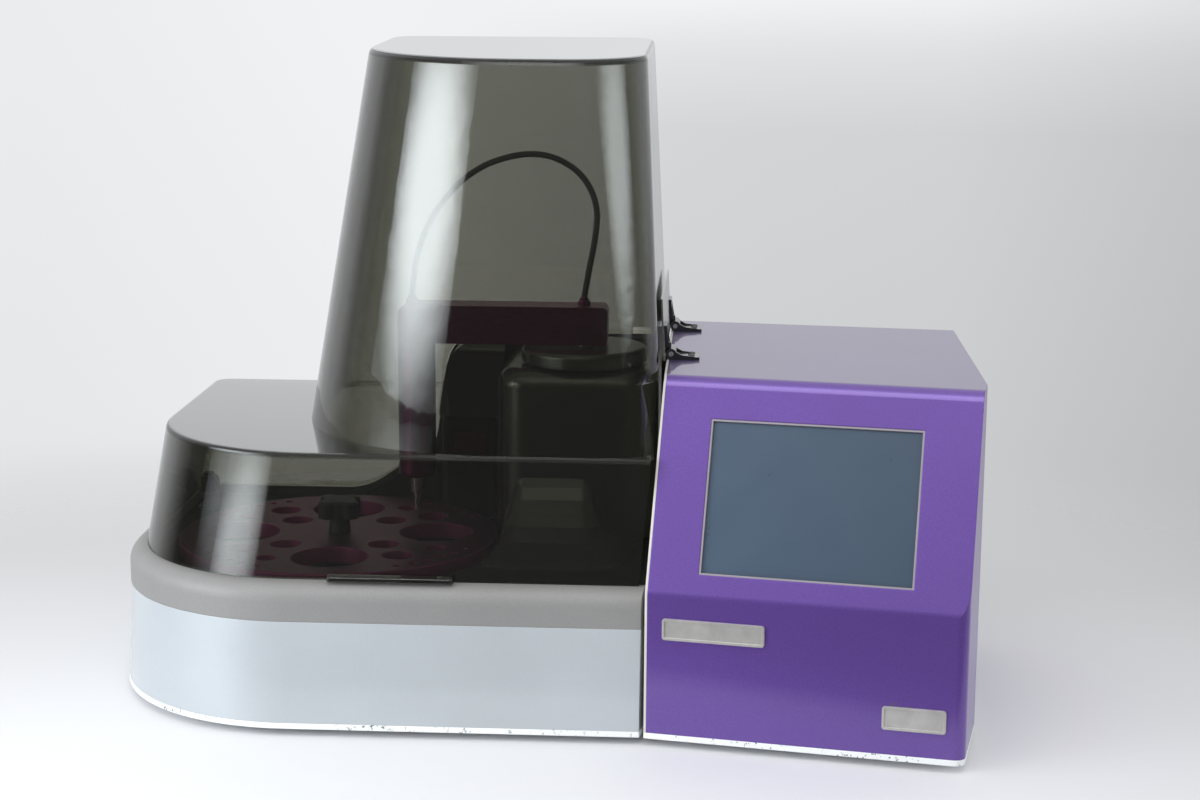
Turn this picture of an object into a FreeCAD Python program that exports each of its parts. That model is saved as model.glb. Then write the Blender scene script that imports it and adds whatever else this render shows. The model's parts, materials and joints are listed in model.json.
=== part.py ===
import FreeCAD, Part
import math
import os

# Automated cell separator for a laboratory bench.
# Millimetres. X runs to the right along the front, Y to the back, Z up.
# The pieces are drawn about the seam point: the front bottom corner where the
# base meets the console, on the underside of the tray. At the end everything
# is shifted so that the origin is the centre of the footprint, at floor level.

# Driving dimensions: levels above the underside of the tray
foot_height = 7.0
tray_thickness = 5.0
split_height = 90.0
rim_height = 122.0
ledge_height = 226.0
dome_front_height = 543.0
dome_top_tilt = 2.1
rear_rim_height = 276.0
console_height = 289.0
panel_rise = 167.0

# Driving dimensions: the base and its band
base_width = 453.0
base_depth = 368.0
base_front_corner = 162.0
base_rear_corner = 45.0
base_draft = 4.0
base_wall = 4.0
shoulder_radius = 15.0
band_lip_drop = 10.0
band_lip_width = 20.0
seam_gap = 4.0
riser_depth = 24.0
riser_start = 275.0
riser_knee = 208.0
riser_edge = 192.0
riser_knee_height = 168.0

# Driving dimensions: the console
console_turn = 10.9
console_corner_x = 5.4
console_corner_y = -5.1
console_width = 258.7
console_lean = 20.6
console_side_left = 63.0
console_side_right = 92.0
console_rear_left = 346.0
console_rear_right = 311.0
sheet_thickness = 2.0
console_edge_radius = 9.0
console_brow_radius = 12.0
screen_left = 42.3
screen_width = 171.9
screen_bottom = 18.2
screen_height = 126.7
screen_recess = 3.0
glass_thickness = 2.5
frame_edge = 1.6

# Driving dimensions: the console's rear, measured along it from its left end
fan_x = 185.0
fan_z = 190.0
fan_radius = 38.0
inlet_x = 60.0
inlet_z = 50.0
switch_x = 105.0
rear_panel_gap = 1.0
rocker_pin = 1.2
rocker_pin_length = 13.6
rocker_depth = 3.0

# Driving dimensions: the lid
lid_wall = 4.0
lid_seat_gap = 0.3
ledge_left = 420.0
ledge_front = 22.0
ledge_rear = 350.0
ledge_right = 8.0
ledge_corner = 150.0
ledge_rear_corner = 12.0
skirt_right = 0.0
skirt_rear = 353.0
skirt_corner = 147.0
dome_left = 297.0
dome_front = 25.0
dome_right = 15.5
dome_rear = 346.0
dome_corner = 170.0
dome_small_corner = 40.0
dome_top_left = 244.0
dome_top_front = 60.0
dome_top_right = -1.0
dome_top_rear = 334.0
dome_top_corner = 145.0
dome_top_small_corner = 68.0
dome_rear_corner = 25.0
ledge_edge = 3.5
crown_edge = 5.0
inner_edge = 1.5
lid_open_height = 283.0
lid_open_left = 20.0
lid_open_front = 45.0
handle_length = 104.0
handle_depth = 10.0
handle_height = 4.5
handle_centre = 203.0

# Driving dimensions: the hinges
hinge_x = 21.0
hinge_rise = 5.0
hinge_knuckle = 4.5
hinge_pin = 2.0
hinge_fit = 0.06
hinge_leaf = 2.5
hinge_leaf_reach = 24.0
hinge_length = 25.0
hinge_front_y = 143.0
hinge_rear_y = 293.0
hinge_plate_gap = 2.5
hinge_plate_thickness = 1.5
hinge_plate_height = 53.0
hinge_plate_front = 123.0
hinge_plate_rear = 315.0
hinge_rib = 2.5

# Driving dimensions: the carousel
carousel_x = -273.0
carousel_front_margin = 35.0
carousel_rear_margin = 51.0
carousel_thickness = 14.0
carousel_top = 121.0
carousel_turn = 4.0
tube_hole_edge = 55.0
tube_hole_radius = 33.0
vial_inner_ring = 60.0
vial_outer_edge = 43.0
vial_hole_radius = 14.0
tip_well_edge = 37.0
tip_well_radius = 9.0
tip_hole_edge = 13.0
tip_hole_radius = 3.5
tip_hole_count = 6
tip_hole_step = 7.0
well_gap = 5.5
well_floor = 52.0
liner_thickness = 4.0
spindle_radius = 6.0
running_fit = 0.06
knob_radius = 22.0
knob_stem_radius = 8.5
knob_stem_height = 15.0
knob_height = 15.0

# Driving dimensions: the tower and the arm
arm_x = -60.0
arm_inset = 90.0
tower_left = 137.0
tower_right = 8.0
tower_depth = 144.0
tower_height = 265.0
tower_corner = 30.0
tower_edge = 16.0
tower_wall = 3.0
apron_centre = -84.0
apron_neck = 32.0
apron_flare = 41.0
apron_reach = 104.0
apron_height = 78.0
cap_radius = 57.0
cap_thickness = 12.5
cap_gap = 3.0
beam_height = 34.5
beam_depth = 34.0
beam_tail = 21.0
beam_clearance = 2.0
arm_reach = 153.0
leg_length = 125.5
probe_radius = 6.0
probe_length = 16.0
nozzle_radius = 4.0
nozzle_length = 16.0
mast_radius = 9.0
mast_drop = 260.0
rod_radius = 4.0
rod_offset = 15.0
rod_drop = 145.0
hub_radius = 20.5
tube_diameter = 5.5

# Driving dimensions: the scanner left of the tower, and the lid's sensor
hood_width = 63.0
hood_depth = 53.0
hood_drop = 61.0
hood_rise = 8.0
hood_lean = 13.0
scanner_setback = 5.0
sensor_left = 426.0
sensor_width = 13.0
sensor_depth = 12.0
sensor_inset = 60.0

turn = math.radians(console_turn)
lean = math.radians(console_lean)
fold_height = console_height - panel_rise
carousel_radius = (base_depth - carousel_front_margin - carousel_rear_margin) / 2
carousel_y = carousel_front_margin + carousel_radius
tower_rear = base_depth - riser_depth - liner_thickness
tower_front = tower_rear - tower_depth
arm_y = tower_rear - arm_inset
hood_low = tower_height - hood_drop
beam_bottom = tower_height + cap_gap + cap_thickness + beam_clearance
beam_top = beam_bottom + beam_height
deck_height = rim_height - band_lip_drop
carousel_bottom = carousel_top - carousel_thickness
hinge_z = console_height + hinge_rise
well_radius = carousel_radius + well_gap


def vec(x, y, z):
    return FreeCAD.Vector(x, y, z)


def corner_round(before, here, after, radius):
    """Start, middle and end of the round at one corner."""
    back = (before - here).normalize()
    ahead = (after - here).normalize()
    half = back.getAngle(ahead) / 2
    reach = radius / math.tan(half)
    bisector = (back + ahead).normalize()
    centre = here + bisector * (radius / math.sin(half))
    return here + back * reach, centre - bisector * radius, here + ahead * reach


def rounded_wire(corners):
    """Closed flat wire through (point, radius) corners."""
    rounds = []
    for index, (here, radius) in enumerate(corners):
        before = corners[index - 1][0]
        after = corners[(index + 1) % len(corners)][0]
        if radius > 0:
            rounds.append(corner_round(before, here, after, radius))
        else:
            rounds.append((here, None, here))
    edges = []
    for index, (start, middle, end) in enumerate(rounds):
        if middle is not None:
            edges.append(Part.Arc(start, middle, end).toShape())
        following = rounds[(index + 1) % len(rounds)][0]
        if end.distanceToPoint(following) > 1e-6:
            edges.append(Part.LineSegment(end, following).toShape())
    return Part.Wire(edges)


def outline(corners, level=0.0):
    """Closed wire through (x, y, radius) corners, lying flat at one level."""
    return rounded_wire([(vec(x, y, level), radius) for x, y, radius in corners])


def prism(corners, bottom, top):
    return Part.Face(outline(corners, bottom)).extrude(vec(0, 0, top - bottom))


def loft(wires, ruled=True):
    return Part.makeLoft(wires, True, ruled)


def box(x0, x1, y0, y1, z0, z1):
    return Part.makeBox(x1 - x0, y1 - y0, z1 - z0, vec(x0, y0, z0))


def rod(x, y, z0, z1, radius):
    return Part.makeCylinder(radius, z1 - z0, vec(x, y, z0))


def ring(x, y, z0, z1, outer, inner):
    return rod(x, y, z0, z1, outer).cut(rod(x, y, z0 - 1, z1 + 1, inner))


def fuse(shapes):
    joined = shapes[0].multiFuse(shapes[1:]) if len(shapes) > 1 else shapes[0]
    return joined.removeSplitter()


def group(shapes):
    return Part.makeCompound(shapes)


def edges_at(shape, level, right_limit=1000.0):
    """Edges that lie in the level plane z = level and start left of a limit."""
    found = []
    for edge in shape.Edges:
        bounds = edge.BoundBox
        is_level = abs(bounds.ZMin - level) < 0.01 and abs(bounds.ZMax - level) < 0.01
        if is_level and bounds.XMin < right_limit:
            found.append(edge)
    return found


# Places on the console

def on_face(along, depth):
    """Plan point at a distance along the console's front and behind it."""
    x = console_corner_x + along * math.cos(turn) + depth * math.sin(turn)
    y = console_corner_y - along * math.sin(turn) + depth * math.cos(turn)
    return x, y


def face_placed(shape):
    """Bring a shape drawn along the console's front to its place."""
    shape = shape.copy()
    shape.rotate(vec(0, 0, 0), vec(0, 0, 1), -console_turn)
    shape.translate(vec(console_corner_x, console_corner_y, 0))
    return shape


def panel_placed(shape):
    """Bring a shape drawn flat (X along, Y up the panel, Z outwards) to the leaning panel."""
    shape = shape.copy()
    shape.rotate(vec(0, 0, 0), vec(1, 0, 0), 90 - console_lean)
    shape.translate(vec(0, 0, fold_height))
    return face_placed(shape)


def lower_placed(shape):
    """Bring a shape drawn flat (X along, Y up, Z outwards) to the upright front."""
    shape = shape.copy()
    shape.rotate(vec(0, 0, 0), vec(1, 0, 0), 90)
    return face_placed(shape)


def rear_line(x):
    left_x = on_face(0, console_side_left)[0]
    right_x = on_face(console_width, console_side_right)[0]
    share = (x - left_x) / (right_x - left_x)
    return console_rear_left + share * (console_rear_right - console_rear_left)


def console_block(left, wall, rear, bottom):
    """Console body with its left side, other sides and rear moved inwards."""
    front_right = on_face(console_width - wall, wall)
    bend_right = on_face(console_width - wall, console_side_right)
    bend_left = on_face(left, console_side_left)
    plan = [
        (*on_face(left, wall), 0),
        (*front_right, console_edge_radius - wall),
        (*bend_right, 0),
        (bend_right[0], rear_line(bend_right[0]) - rear, 0),
        (bend_left[0], rear_line(bend_left[0]) - rear, 0),
        (*bend_left, 0),
    ]
    upright = prism(plan, bottom, console_height - wall)
    fold = fold_height - wall * math.tan(lean / 2)
    brow = wall / math.cos(lean) + (console_height - wall - fold_height) * math.tan(lean)
    far = 2 * console_rear_left
    side = [
        (wall, bottom, 0),
        (wall, fold, console_brow_radius),
        (brow, console_height - wall, console_brow_radius - wall),
        (far, console_height - wall, 0),
        (far, bottom, 0),
    ]
    profile = Part.Face(outline(side))
    profile.rotate(vec(0, 0, 0), vec(1, 1, 1), 120)
    bar = profile.extrude(vec(2 * console_width, 0, 0))
    bar.translate(vec(-console_width / 2, 0, 0))
    return upright.common(face_placed(bar))


def console_clearance(gap):
    """Space that the console takes, seen from the base, with a gap on its left."""
    start = on_face(-gap, -console_width)
    bend = on_face(-gap, console_side_left)
    far = 2 * base_depth
    corners = [(*start, 0), (*bend, 0), (bend[0], far, 0), (far, far, 0), (far, start[1], 0)]
    return prism(corners, -foot_height - 1, dome_front_height)


# Base

def base_outline(inset, level):
    left = -base_width + inset
    front = inset
    rear = base_depth - inset
    corners = [
        (left, front, base_front_corner - inset),
        (ledge_left, front, 0),
        (ledge_left, rear, 0),
        (left, rear, base_rear_corner - inset),
    ]
    return outline(corners, level)


def base_solid(inset, bottom, top):
    return Part.Face(base_outline(inset, bottom)).extrude(vec(0, 0, top - bottom))


def chassis_tray():
    base = base_solid(-base_draft, 0, tray_thickness).cut(console_clearance(seam_gap))
    console = console_block(0, 0, 0, 0)
    console = console.common(box(-base_width, 2 * base_width, -base_width, 2 * base_depth, 0, tray_thickness))
    bridge_x = on_face(0, console_side_left)[0]
    bridge = box(bridge_x - 3 * seam_gap, bridge_x + 3 * seam_gap,
                 base_depth / 4, console_rear_right, 0, tray_thickness)
    return fuse([base, console, bridge])


def foot_places():
    rear = console_rear_right - 45
    return [
        (-base_width + 95, 80),
        (-base_width + 60, base_depth - 50),
        (-45, 45),
        (-45, base_depth - 50),
        (on_face(console_width - 40, 40)[0], on_face(console_width - 40, 40)[1]),
        (on_face(console_width - 40, 40)[0], rear),
    ]


def rubber_feet():
    feet = []
    for x, y in foot_places():
        foot = Part.makeCone(14, 16, foot_height, vec(x, y, -foot_height))
        feet.append(foot)
    return group(feet)


def base_housing():
    outer = loft([base_outline(-base_draft, tray_thickness), base_outline(0, split_height)])
    inner = loft([base_outline(base_wall - base_draft, tray_thickness), base_outline(base_wall, split_height)])
    outer = outer.cut(console_clearance(seam_gap))
    inner = inner.cut(console_clearance(seam_gap + base_wall))
    return outer.cut(inner)


def riser_profile(inset):
    """Face of the rear rise, seen from the front, drawn in the XZ plane."""
    right = 2 * base_wall
    corners = [
        (-riser_start - 60, rim_height - inset, 0),
        (-riser_start + inset, rim_height - inset, 60),
        (-riser_knee + inset, riser_knee_height - inset, 25),
        (-riser_edge + inset, rear_rim_height - inset, 35),
        (right + 40, rear_rim_height - inset, 0),
        (right + 40, deck_height - 2 * base_wall, 0),
        (-riser_start - 60, deck_height - 2 * base_wall, 0),
    ]
    face = Part.Face(outline(corners))
    face.rotate(vec(0, 0, 0), vec(1, 0, 0), 90)
    return face


def riser(inset, front, rear):
    face = riser_profile(inset)
    face.translate(vec(0, rear, 0))
    return face.extrude(vec(0, front - rear, 0))


def base_band():
    ring_body = base_solid(0, split_height, rim_height)
    ring_body = ring_body.makeFillet(shoulder_radius, edges_at(ring_body, rim_height, 0))
    rear_rise = riser(0, base_depth - riser_depth, base_depth)
    outer = ring_body.fuse(rear_rise).cut(console_clearance(seam_gap))
    hollow = base_solid(base_wall, split_height, deck_height).cut(console_clearance(seam_gap + base_wall))
    opening = base_solid(band_lip_width, split_height, rim_height + 1)
    opening = opening.cut(console_clearance(-seam_gap))
    front_part = box(-2 * base_width, 2 * base_width, -base_depth,
                     base_depth - riser_depth, 0, dome_front_height)
    opening = opening.common(front_part)
    rise_hollow = riser(base_wall, base_depth - riser_depth + base_wall, base_depth - base_wall)
    rise_hollow = rise_hollow.cut(console_clearance(seam_gap + base_wall))
    return outer.cut(hollow).cut(opening).cut(rise_hollow).removeSplitter()


# Deck

def deck_liner():
    sheet = base_solid(base_wall + 2, deck_height - liner_thickness, deck_height)
    sheet = sheet.cut(console_clearance(seam_gap + base_wall + 2))
    rear_limit = base_depth - riser_depth
    sheet = sheet.common(box(-2 * base_width, base_width, 0, rear_limit, 0, rim_height))
    tub = rod(carousel_x, carousel_y, well_floor, deck_height, well_radius + liner_thickness)
    back = riser(liner_thickness, rear_limit - liner_thickness, rear_limit)
    back = back.cut(console_clearance(seam_gap + base_wall))
    back = back.common(box(-riser_start, base_width, 0, base_depth, deck_height, dome_front_height))
    body = fuse([sheet, tub, back])
    hollow = rod(carousel_x, carousel_y, well_floor + liner_thickness, dome_front_height, well_radius)
    body = body.cut(hollow.common(box(-base_width, base_width, 0, rear_limit - liner_thickness,
                                      0, dome_front_height)))
    body = body.cut(rod(carousel_x, carousel_y, 0, rim_height, bearing_radius()))
    post = tower_column_half() + 1
    return body.cut(box(arm_x - post, arm_x + post, arm_y - post, arm_y + post + motor_size(), 0, rim_height))


def apron(inset):
    """Concave foot that spreads from the tower's front down to the deck."""
    wires = []
    steps = 8
    for step in range(steps + 1):
        share = step / steps
        swell = 1 - math.sqrt(1 - (1 - share) ** 2)
        half = apron_neck + apron_flare * swell - inset
        front = tower_front + 4 - apron_reach * swell + inset
        rear = tower_front + 2 * tower_corner
        corner = 8 + 38 * swell
        level = deck_height + apron_height * share
        corners = [
            (apron_centre - half, front, corner),
            (apron_centre + half, front, corner),
            (apron_centre + half, rear, 0),
            (apron_centre - half, rear, 0),
        ]
        wires.append(outline(corners, level))
    return loft(wires)


def tower_block(inset):
    corners = [
        (-tower_left + inset, tower_front + inset, tower_corner - inset),
        (tower_right - inset, tower_front + inset, tower_corner - inset),
        (tower_right - inset, tower_rear - inset, 0),
        (-tower_left + inset, tower_rear - inset, 0),
    ]
    body = prism(corners, deck_height, tower_height - inset)
    return body.makeFillet(tower_edge - inset, edges_at(body, tower_height - inset))


def tower_cover():
    outer = tower_block(0).fuse(apron(0))
    inner = tower_block(tower_wall).fuse(apron(tower_wall))
    shell = outer.cut(inner)
    well = rod(carousel_x, carousel_y, 0, tower_height, well_radius)
    neck = rod(arm_x, arm_y, deck_height, tower_height + 1, cap_radius - 14)
    return shell.cut(well).cut(neck).removeSplitter()


def scanner_hood():
    """Hood with a round top, made where a plan and two leaning profiles meet."""
    left = -tower_left - hood_width
    top = tower_height + hood_rise
    front = tower_rear - hood_depth
    front_top = front + hood_depth / 9
    plan = [
        (left, front, 18),
        (-tower_left, front, 0),
        (-tower_left, tower_rear, 0),
        (left, tower_rear, 0),
    ]
    seen_from_front = [
        (left, hood_low, 0),
        (-tower_left, hood_low, 0),
        (-tower_left, top, 0),
        (left + hood_lean, top, 26),
    ]
    seen_from_left = [
        (front, hood_low, 0),
        (tower_rear, hood_low, 0),
        (tower_rear, top, 0),
        (front_top, top, 16),
    ]
    across = Part.Face(outline(seen_from_front))
    across.rotate(vec(0, 0, 0), vec(1, 0, 0), 90)
    across = across.extrude(vec(0, 2 * base_depth, 0))
    along = Part.Face(outline(seen_from_left))
    along.rotate(vec(0, 0, 0), vec(1, 1, 1), 120)
    along = along.extrude(vec(-base_width, 0, 0))
    outer = prism(plan, hood_low, top).common(across).common(along)
    wall = tower_wall
    hollow = [
        (left + hood_lean + wall, front_top + wall, 14),
        (-tower_left - wall, front_top + wall, 0),
        (-tower_left - wall, tower_rear - wall, 0),
        (left + hood_lean + wall, tower_rear - wall, 0),
    ]
    return outer.cut(prism(hollow, hood_low - 1, top - hood_drop / 3))


def scanner_block():
    left = -tower_left - hood_width + 4
    right = -tower_left - 8
    front = tower_rear - hood_depth + scanner_setback
    corners = [
        (left, front, 6),
        (right, front, 3),
        (right, tower_rear, 0),
        (left, tower_rear, 0),
    ]
    return prism(corners, deck_height, hood_low).cut(window_space(front - 2, front + 3))


def window_space(front, rear):
    """Space of the scanner's window between two depths."""
    left = -tower_left - hood_width + 12
    right = -tower_left - 16
    return box(left, right, front, rear, hood_low - 36, hood_low - 14)


def scanner_window():
    front = tower_rear - hood_depth + scanner_setback
    return window_space(front + 1.5, front + 3)


def lid_sensor():
    rear = base_depth - sensor_inset
    low = deck_height + 14
    right = -sensor_left + sensor_width
    block = box(-sensor_left, right, rear - sensor_depth, rear, low, low + 15)
    cap = box(-sensor_left + 2, right - 2, rear - sensor_depth + 2, rear - 2, low + 15, low + 18)
    return fuse([block, cap])


def lid_sensor_bracket():
    rear = base_depth - sensor_inset
    left = -sensor_left - 2
    right = left + sensor_width + 4
    base = box(left, right, rear - 22, rear + 4, deck_height, deck_height + 2)
    post = box(left, right, rear, rear + 2, deck_height, deck_height + 26)
    return fuse([base, post])


# Carousel

def bearing_radius():
    return 3 * spindle_radius


def carousel_plate():
    plate = rod(carousel_x, carousel_y, carousel_bottom, carousel_top, carousel_radius)
    plate = plate.makeChamfer(1.2, edges_at(plate, carousel_top))
    cutters = [rod(carousel_x, carousel_y, 0, rim_height + 9, spindle_radius)]
    for quadrant in range(4):
        start = carousel_turn + 90 * quadrant
        holes = [
            (carousel_radius - tube_hole_edge, start, tube_hole_radius),
            (vial_inner_ring, start + 45, vial_hole_radius),
            (carousel_radius - vial_outer_edge, start + 36, vial_hole_radius),
            (carousel_radius - tip_well_edge, start + 59, tip_well_radius),
        ]
        for index in range(tip_hole_count):
            angle = start + 45 + (index - (tip_hole_count - 1) / 2) * tip_hole_step
            holes.append((carousel_radius - tip_hole_edge, angle, tip_hole_radius))
        for ring_radius, angle, radius in holes:
            x = carousel_x + ring_radius * math.cos(math.radians(angle))
            y = carousel_y + ring_radius * math.sin(math.radians(angle))
            cutters.append(rod(x, y, carousel_bottom - 1, carousel_top + 1, radius))
    return plate.cut(group(cutters))


def carousel_hub():
    flange = rod(carousel_x, carousel_y, carousel_bottom - 8, carousel_bottom, 24)
    neck = rod(carousel_x, carousel_y, well_floor + 22, carousel_bottom - 8, 14)
    bore = rod(carousel_x, carousel_y, 0, rim_height, spindle_radius)
    return fuse([flange, neck]).cut(bore)


def carousel_spindle():
    shaft = rod(carousel_x, carousel_y, well_floor - 24, carousel_top, spindle_radius)
    return shaft.cut(rod(carousel_x, carousel_y, carousel_top - 20, carousel_top + 1, 3 + running_fit))


def carousel_bearing():
    inner = spindle_radius + running_fit
    flange = ring(carousel_x, carousel_y, well_floor + liner_thickness, well_floor + 14, 26, inner)
    body = ring(carousel_x, carousel_y, well_floor, well_floor + liner_thickness, bearing_radius(), inner)
    return fuse([flange, body])


def carousel_motor():
    half = motor_size() / 2 + 7
    corners = [
        (carousel_x - half, carousel_y - half, 5),
        (carousel_x + half, carousel_y - half, 5),
        (carousel_x + half, carousel_y + half, 5),
        (carousel_x - half, carousel_y + half, 5),
    ]
    body = prism(corners, well_floor - 38, well_floor)
    return body.cut(rod(carousel_x, carousel_y, well_floor - 25, well_floor + 1, spindle_radius + running_fit))


def carousel_knob():
    low = carousel_top + 0.3
    stem = Part.makeCone(knob_stem_radius + 1.5, knob_stem_radius, knob_stem_height,
                         vec(carousel_x, carousel_y, low))
    start = low + knob_stem_height
    lobes = [rod(carousel_x, carousel_y, start, start + knob_height, 0.68 * knob_radius)]
    for index in range(4):
        angle = math.radians(45 + carousel_turn + 90 * index)
        reach = knob_radius - 0.36 * knob_radius
        x = carousel_x + reach * math.cos(angle)
        y = carousel_y + reach * math.sin(angle)
        lobes.append(rod(x, y, start, start + knob_height, 0.36 * knob_radius))
    head = fuse(lobes)
    head = head.makeChamfer(1.8, edges_at(head, start + knob_height))
    return fuse([stem, head]).cut(knob_stud())


def knob_stud():
    """Plain core of the clamping screw that holds the plate on its spindle."""
    high = carousel_top + knob_stem_height + knob_height / 2
    return rod(carousel_x, carousel_y, carousel_top - 18, high, 3)


# Tower mechanism and arm

def motor_size():
    return 42.0


def tower_column_half():
    return hub_radius + 14


def tower_column():
    outer = tower_column_half()
    inner = outer - 4
    post = box(arm_x - outer, arm_x + outer, arm_y - outer, arm_y + outer, tray_thickness, turret_level() + 14)
    hollow = box(arm_x - inner, arm_x + inner, arm_y - inner, arm_y + inner,
                 tray_thickness + 4, turret_level() + 2)
    bore = rod(arm_x, arm_y, turret_level(), tower_height, bearing_outer())
    belt_slot = box(arm_x - inner, arm_x + inner, arm_y, arm_y + outer + 1,
                    turret_level() - 24, turret_level() - 6)
    return post.cut(hollow).cut(bore).cut(belt_slot)


def turret_level():
    return tower_height - 26


def bearing_outer():
    return hub_radius + 8


def turret_bearing():
    inner = hub_radius + running_fit
    return ring(arm_x, arm_y, turret_level() + 2, turret_level() + 14, bearing_outer(), inner)


def mast_bores(low, high):
    mast = rod(arm_x, arm_y, low, high, mast_radius + running_fit)
    guide = rod(arm_x, arm_y + rod_offset, low, high, rod_radius + running_fit)
    return mast.fuse(guide)


def turret_hub():
    low = turret_level() - 24
    high = tower_height + cap_gap
    body = rod(arm_x, arm_y, low, high, hub_radius)
    collar = rod(arm_x, arm_y, turret_level() + 14.3, turret_level() + 18, hub_radius + 5)
    return fuse([body, collar]).cut(mast_bores(low - 1, high + 1))


def turret_cap():
    low = tower_height + cap_gap
    high = low + cap_thickness
    skirt_low = tower_height + cap_gap / 3
    disc = rod(arm_x, arm_y, low, high, cap_radius)
    disc = disc.makeFillet(5, edges_at(disc, high))
    skirt = ring(arm_x, arm_y, skirt_low, low, cap_radius - 3, cap_radius - 6)
    return fuse([disc, skirt]).cut(mast_bores(low - 1, high + 1))


def drive_pulley():
    low = turret_level() - 22
    return ring(arm_x, arm_y, low, low + 14, hub_radius + 6, hub_radius)


def swing_motor():
    half = motor_size() / 2
    y = arm_y + tower_column_half() + half
    top = turret_level() - 26
    corners = [
        (arm_x - half, y - half, 0),
        (arm_x + half, y - half, 0),
        (arm_x + half, y + half, 5),
        (arm_x - half, y + half, 5),
    ]
    body = prism(corners, top - 40, top)
    return body.cut(rod(arm_x, y, top - 20, top + 1, 2.5 + running_fit))


def motor_pulley():
    y = arm_y + tower_column_half() + motor_size() / 2
    low = turret_level() - 22
    wheel = rod(arm_x, y, low, low + 14, 8)
    shaft = rod(arm_x, y, low - 20, low, 2.5)
    return fuse([wheel, shaft])


def swing_belt():
    y = arm_y + tower_column_half() + motor_size() / 2
    low = turret_level() - 20
    big = hub_radius + 6.3
    small = 8.3
    return belt_loop(y, low, big + 1.5, small + 1.5).cut(belt_loop(y, low, big, small))


def belt_loop(y, low, big, small):
    """Solid bounded by two circles and the two straight lines that touch both."""
    span = y - arm_y
    angle = math.acos((big - small) / span)
    side_big = vec(arm_x + big * math.sin(angle), arm_y + big * math.cos(angle), low)
    side_small = vec(arm_x + small * math.sin(angle), y + small * math.cos(angle), low)
    mirror_big = vec(2 * arm_x - side_big.x, side_big.y, low)
    mirror_small = vec(2 * arm_x - side_small.x, side_small.y, low)
    edges = [
        Part.Arc(mirror_big, vec(arm_x, arm_y - big, low), side_big).toShape(),
        Part.LineSegment(side_big, side_small).toShape(),
        Part.Arc(side_small, vec(arm_x, y + small, low), mirror_small).toShape(),
        Part.LineSegment(mirror_small, mirror_big).toShape(),
    ]
    return Part.Face(Part.Wire(edges)).extrude(vec(0, 0, 10))


def lift_motor():
    half = tower_column_half() - 4
    low = 95
    corners = [
        (arm_x - half, arm_y - half, 0),
        (arm_x + half, arm_y - half, 0),
        (arm_x + half, arm_y + half, 0),
        (arm_x - half, arm_y + half, 0),
    ]
    return prism(corners, low, low + 45).cut(rod(arm_x, arm_y, low - 1, low + 46, mast_radius + 0.4))


def lift_mast():
    high = beam_top - 8
    return rod(arm_x, arm_y, high - mast_drop, high, mast_radius)


def guide_rod():
    high = beam_top - 8
    return rod(arm_x, arm_y + rod_offset, high - rod_drop, high, rod_radius)


def arm_beam():
    half = beam_depth / 2
    left = arm_x - arm_reach - half
    right = arm_x + beam_tail
    corners = [
        (left, arm_y - half, half - 0.01),
        (right, arm_y - half, 5),
        (right, arm_y + half, 5),
        (left, arm_y + half, half - 0.01),
    ]
    side = [
        (left, beam_bottom, 0),
        (right, beam_bottom, 3),
        (right, beam_top, 5),
        (left, beam_top, 13),
    ]
    face = Part.Face(outline(side))
    face.rotate(vec(0, 0, 0), vec(1, 0, 0), 90)
    face.translate(vec(0, arm_y + half, 0))
    body = prism(corners, beam_bottom, beam_top).common(face.extrude(vec(0, -2 * half, 0)))
    sockets = [
        rod(arm_x, arm_y, beam_bottom - 1, beam_top - 8, mast_radius),
        rod(arm_x, arm_y + rod_offset, beam_bottom - 1, beam_top - 8, rod_radius),
    ]
    return body.cut(group(sockets))


def arm_leg():
    half = beam_depth / 2
    body = rod(arm_x - arm_reach, arm_y, beam_bottom - leg_length, beam_bottom, half)
    return body.makeFillet(4, edges_at(body, beam_bottom - leg_length))


def probe_barrel():
    top = beam_bottom - leg_length
    body = rod(arm_x - arm_reach, arm_y, top - probe_length, top, probe_radius)
    return body.makeChamfer(0.8, edges_at(body, top - probe_length))


def probe_nozzle():
    top = beam_bottom - leg_length - probe_length
    return Part.makeCone(nozzle_radius - 0.6, nozzle_radius, nozzle_length,
                         vec(arm_x - arm_reach, arm_y, top - nozzle_length))


def tube_glands():
    glands = []
    for x in (tube_route()[0].x, tube_route()[-1].x):
        nut = rod(x, arm_y, beam_top, beam_top + 4, 5.5)
        barrel = rod(x, arm_y, beam_top + 4, beam_top + 7, 4)
        glands.append(fuse([nut, barrel]))
    return group(glands)


def tube_route():
    """Route of the flexible line, arching from the beam's tail to the leg."""
    start = beam_top + 7
    offsets = [
        (-0.5, 0), (3.5, 24.5), (9.5, 54), (11.5, 82.5), (-1, 109.5), (-24.5, 125), (-47, 129),
        (-70, 125.5), (-95, 116), (-118, 98), (-137, 73), (-149, 46.5), (-154.5, 23), (-156.5, 0),
    ]
    return [vec(arm_x + x, arm_y, start + z) for x, z in offsets]


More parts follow.
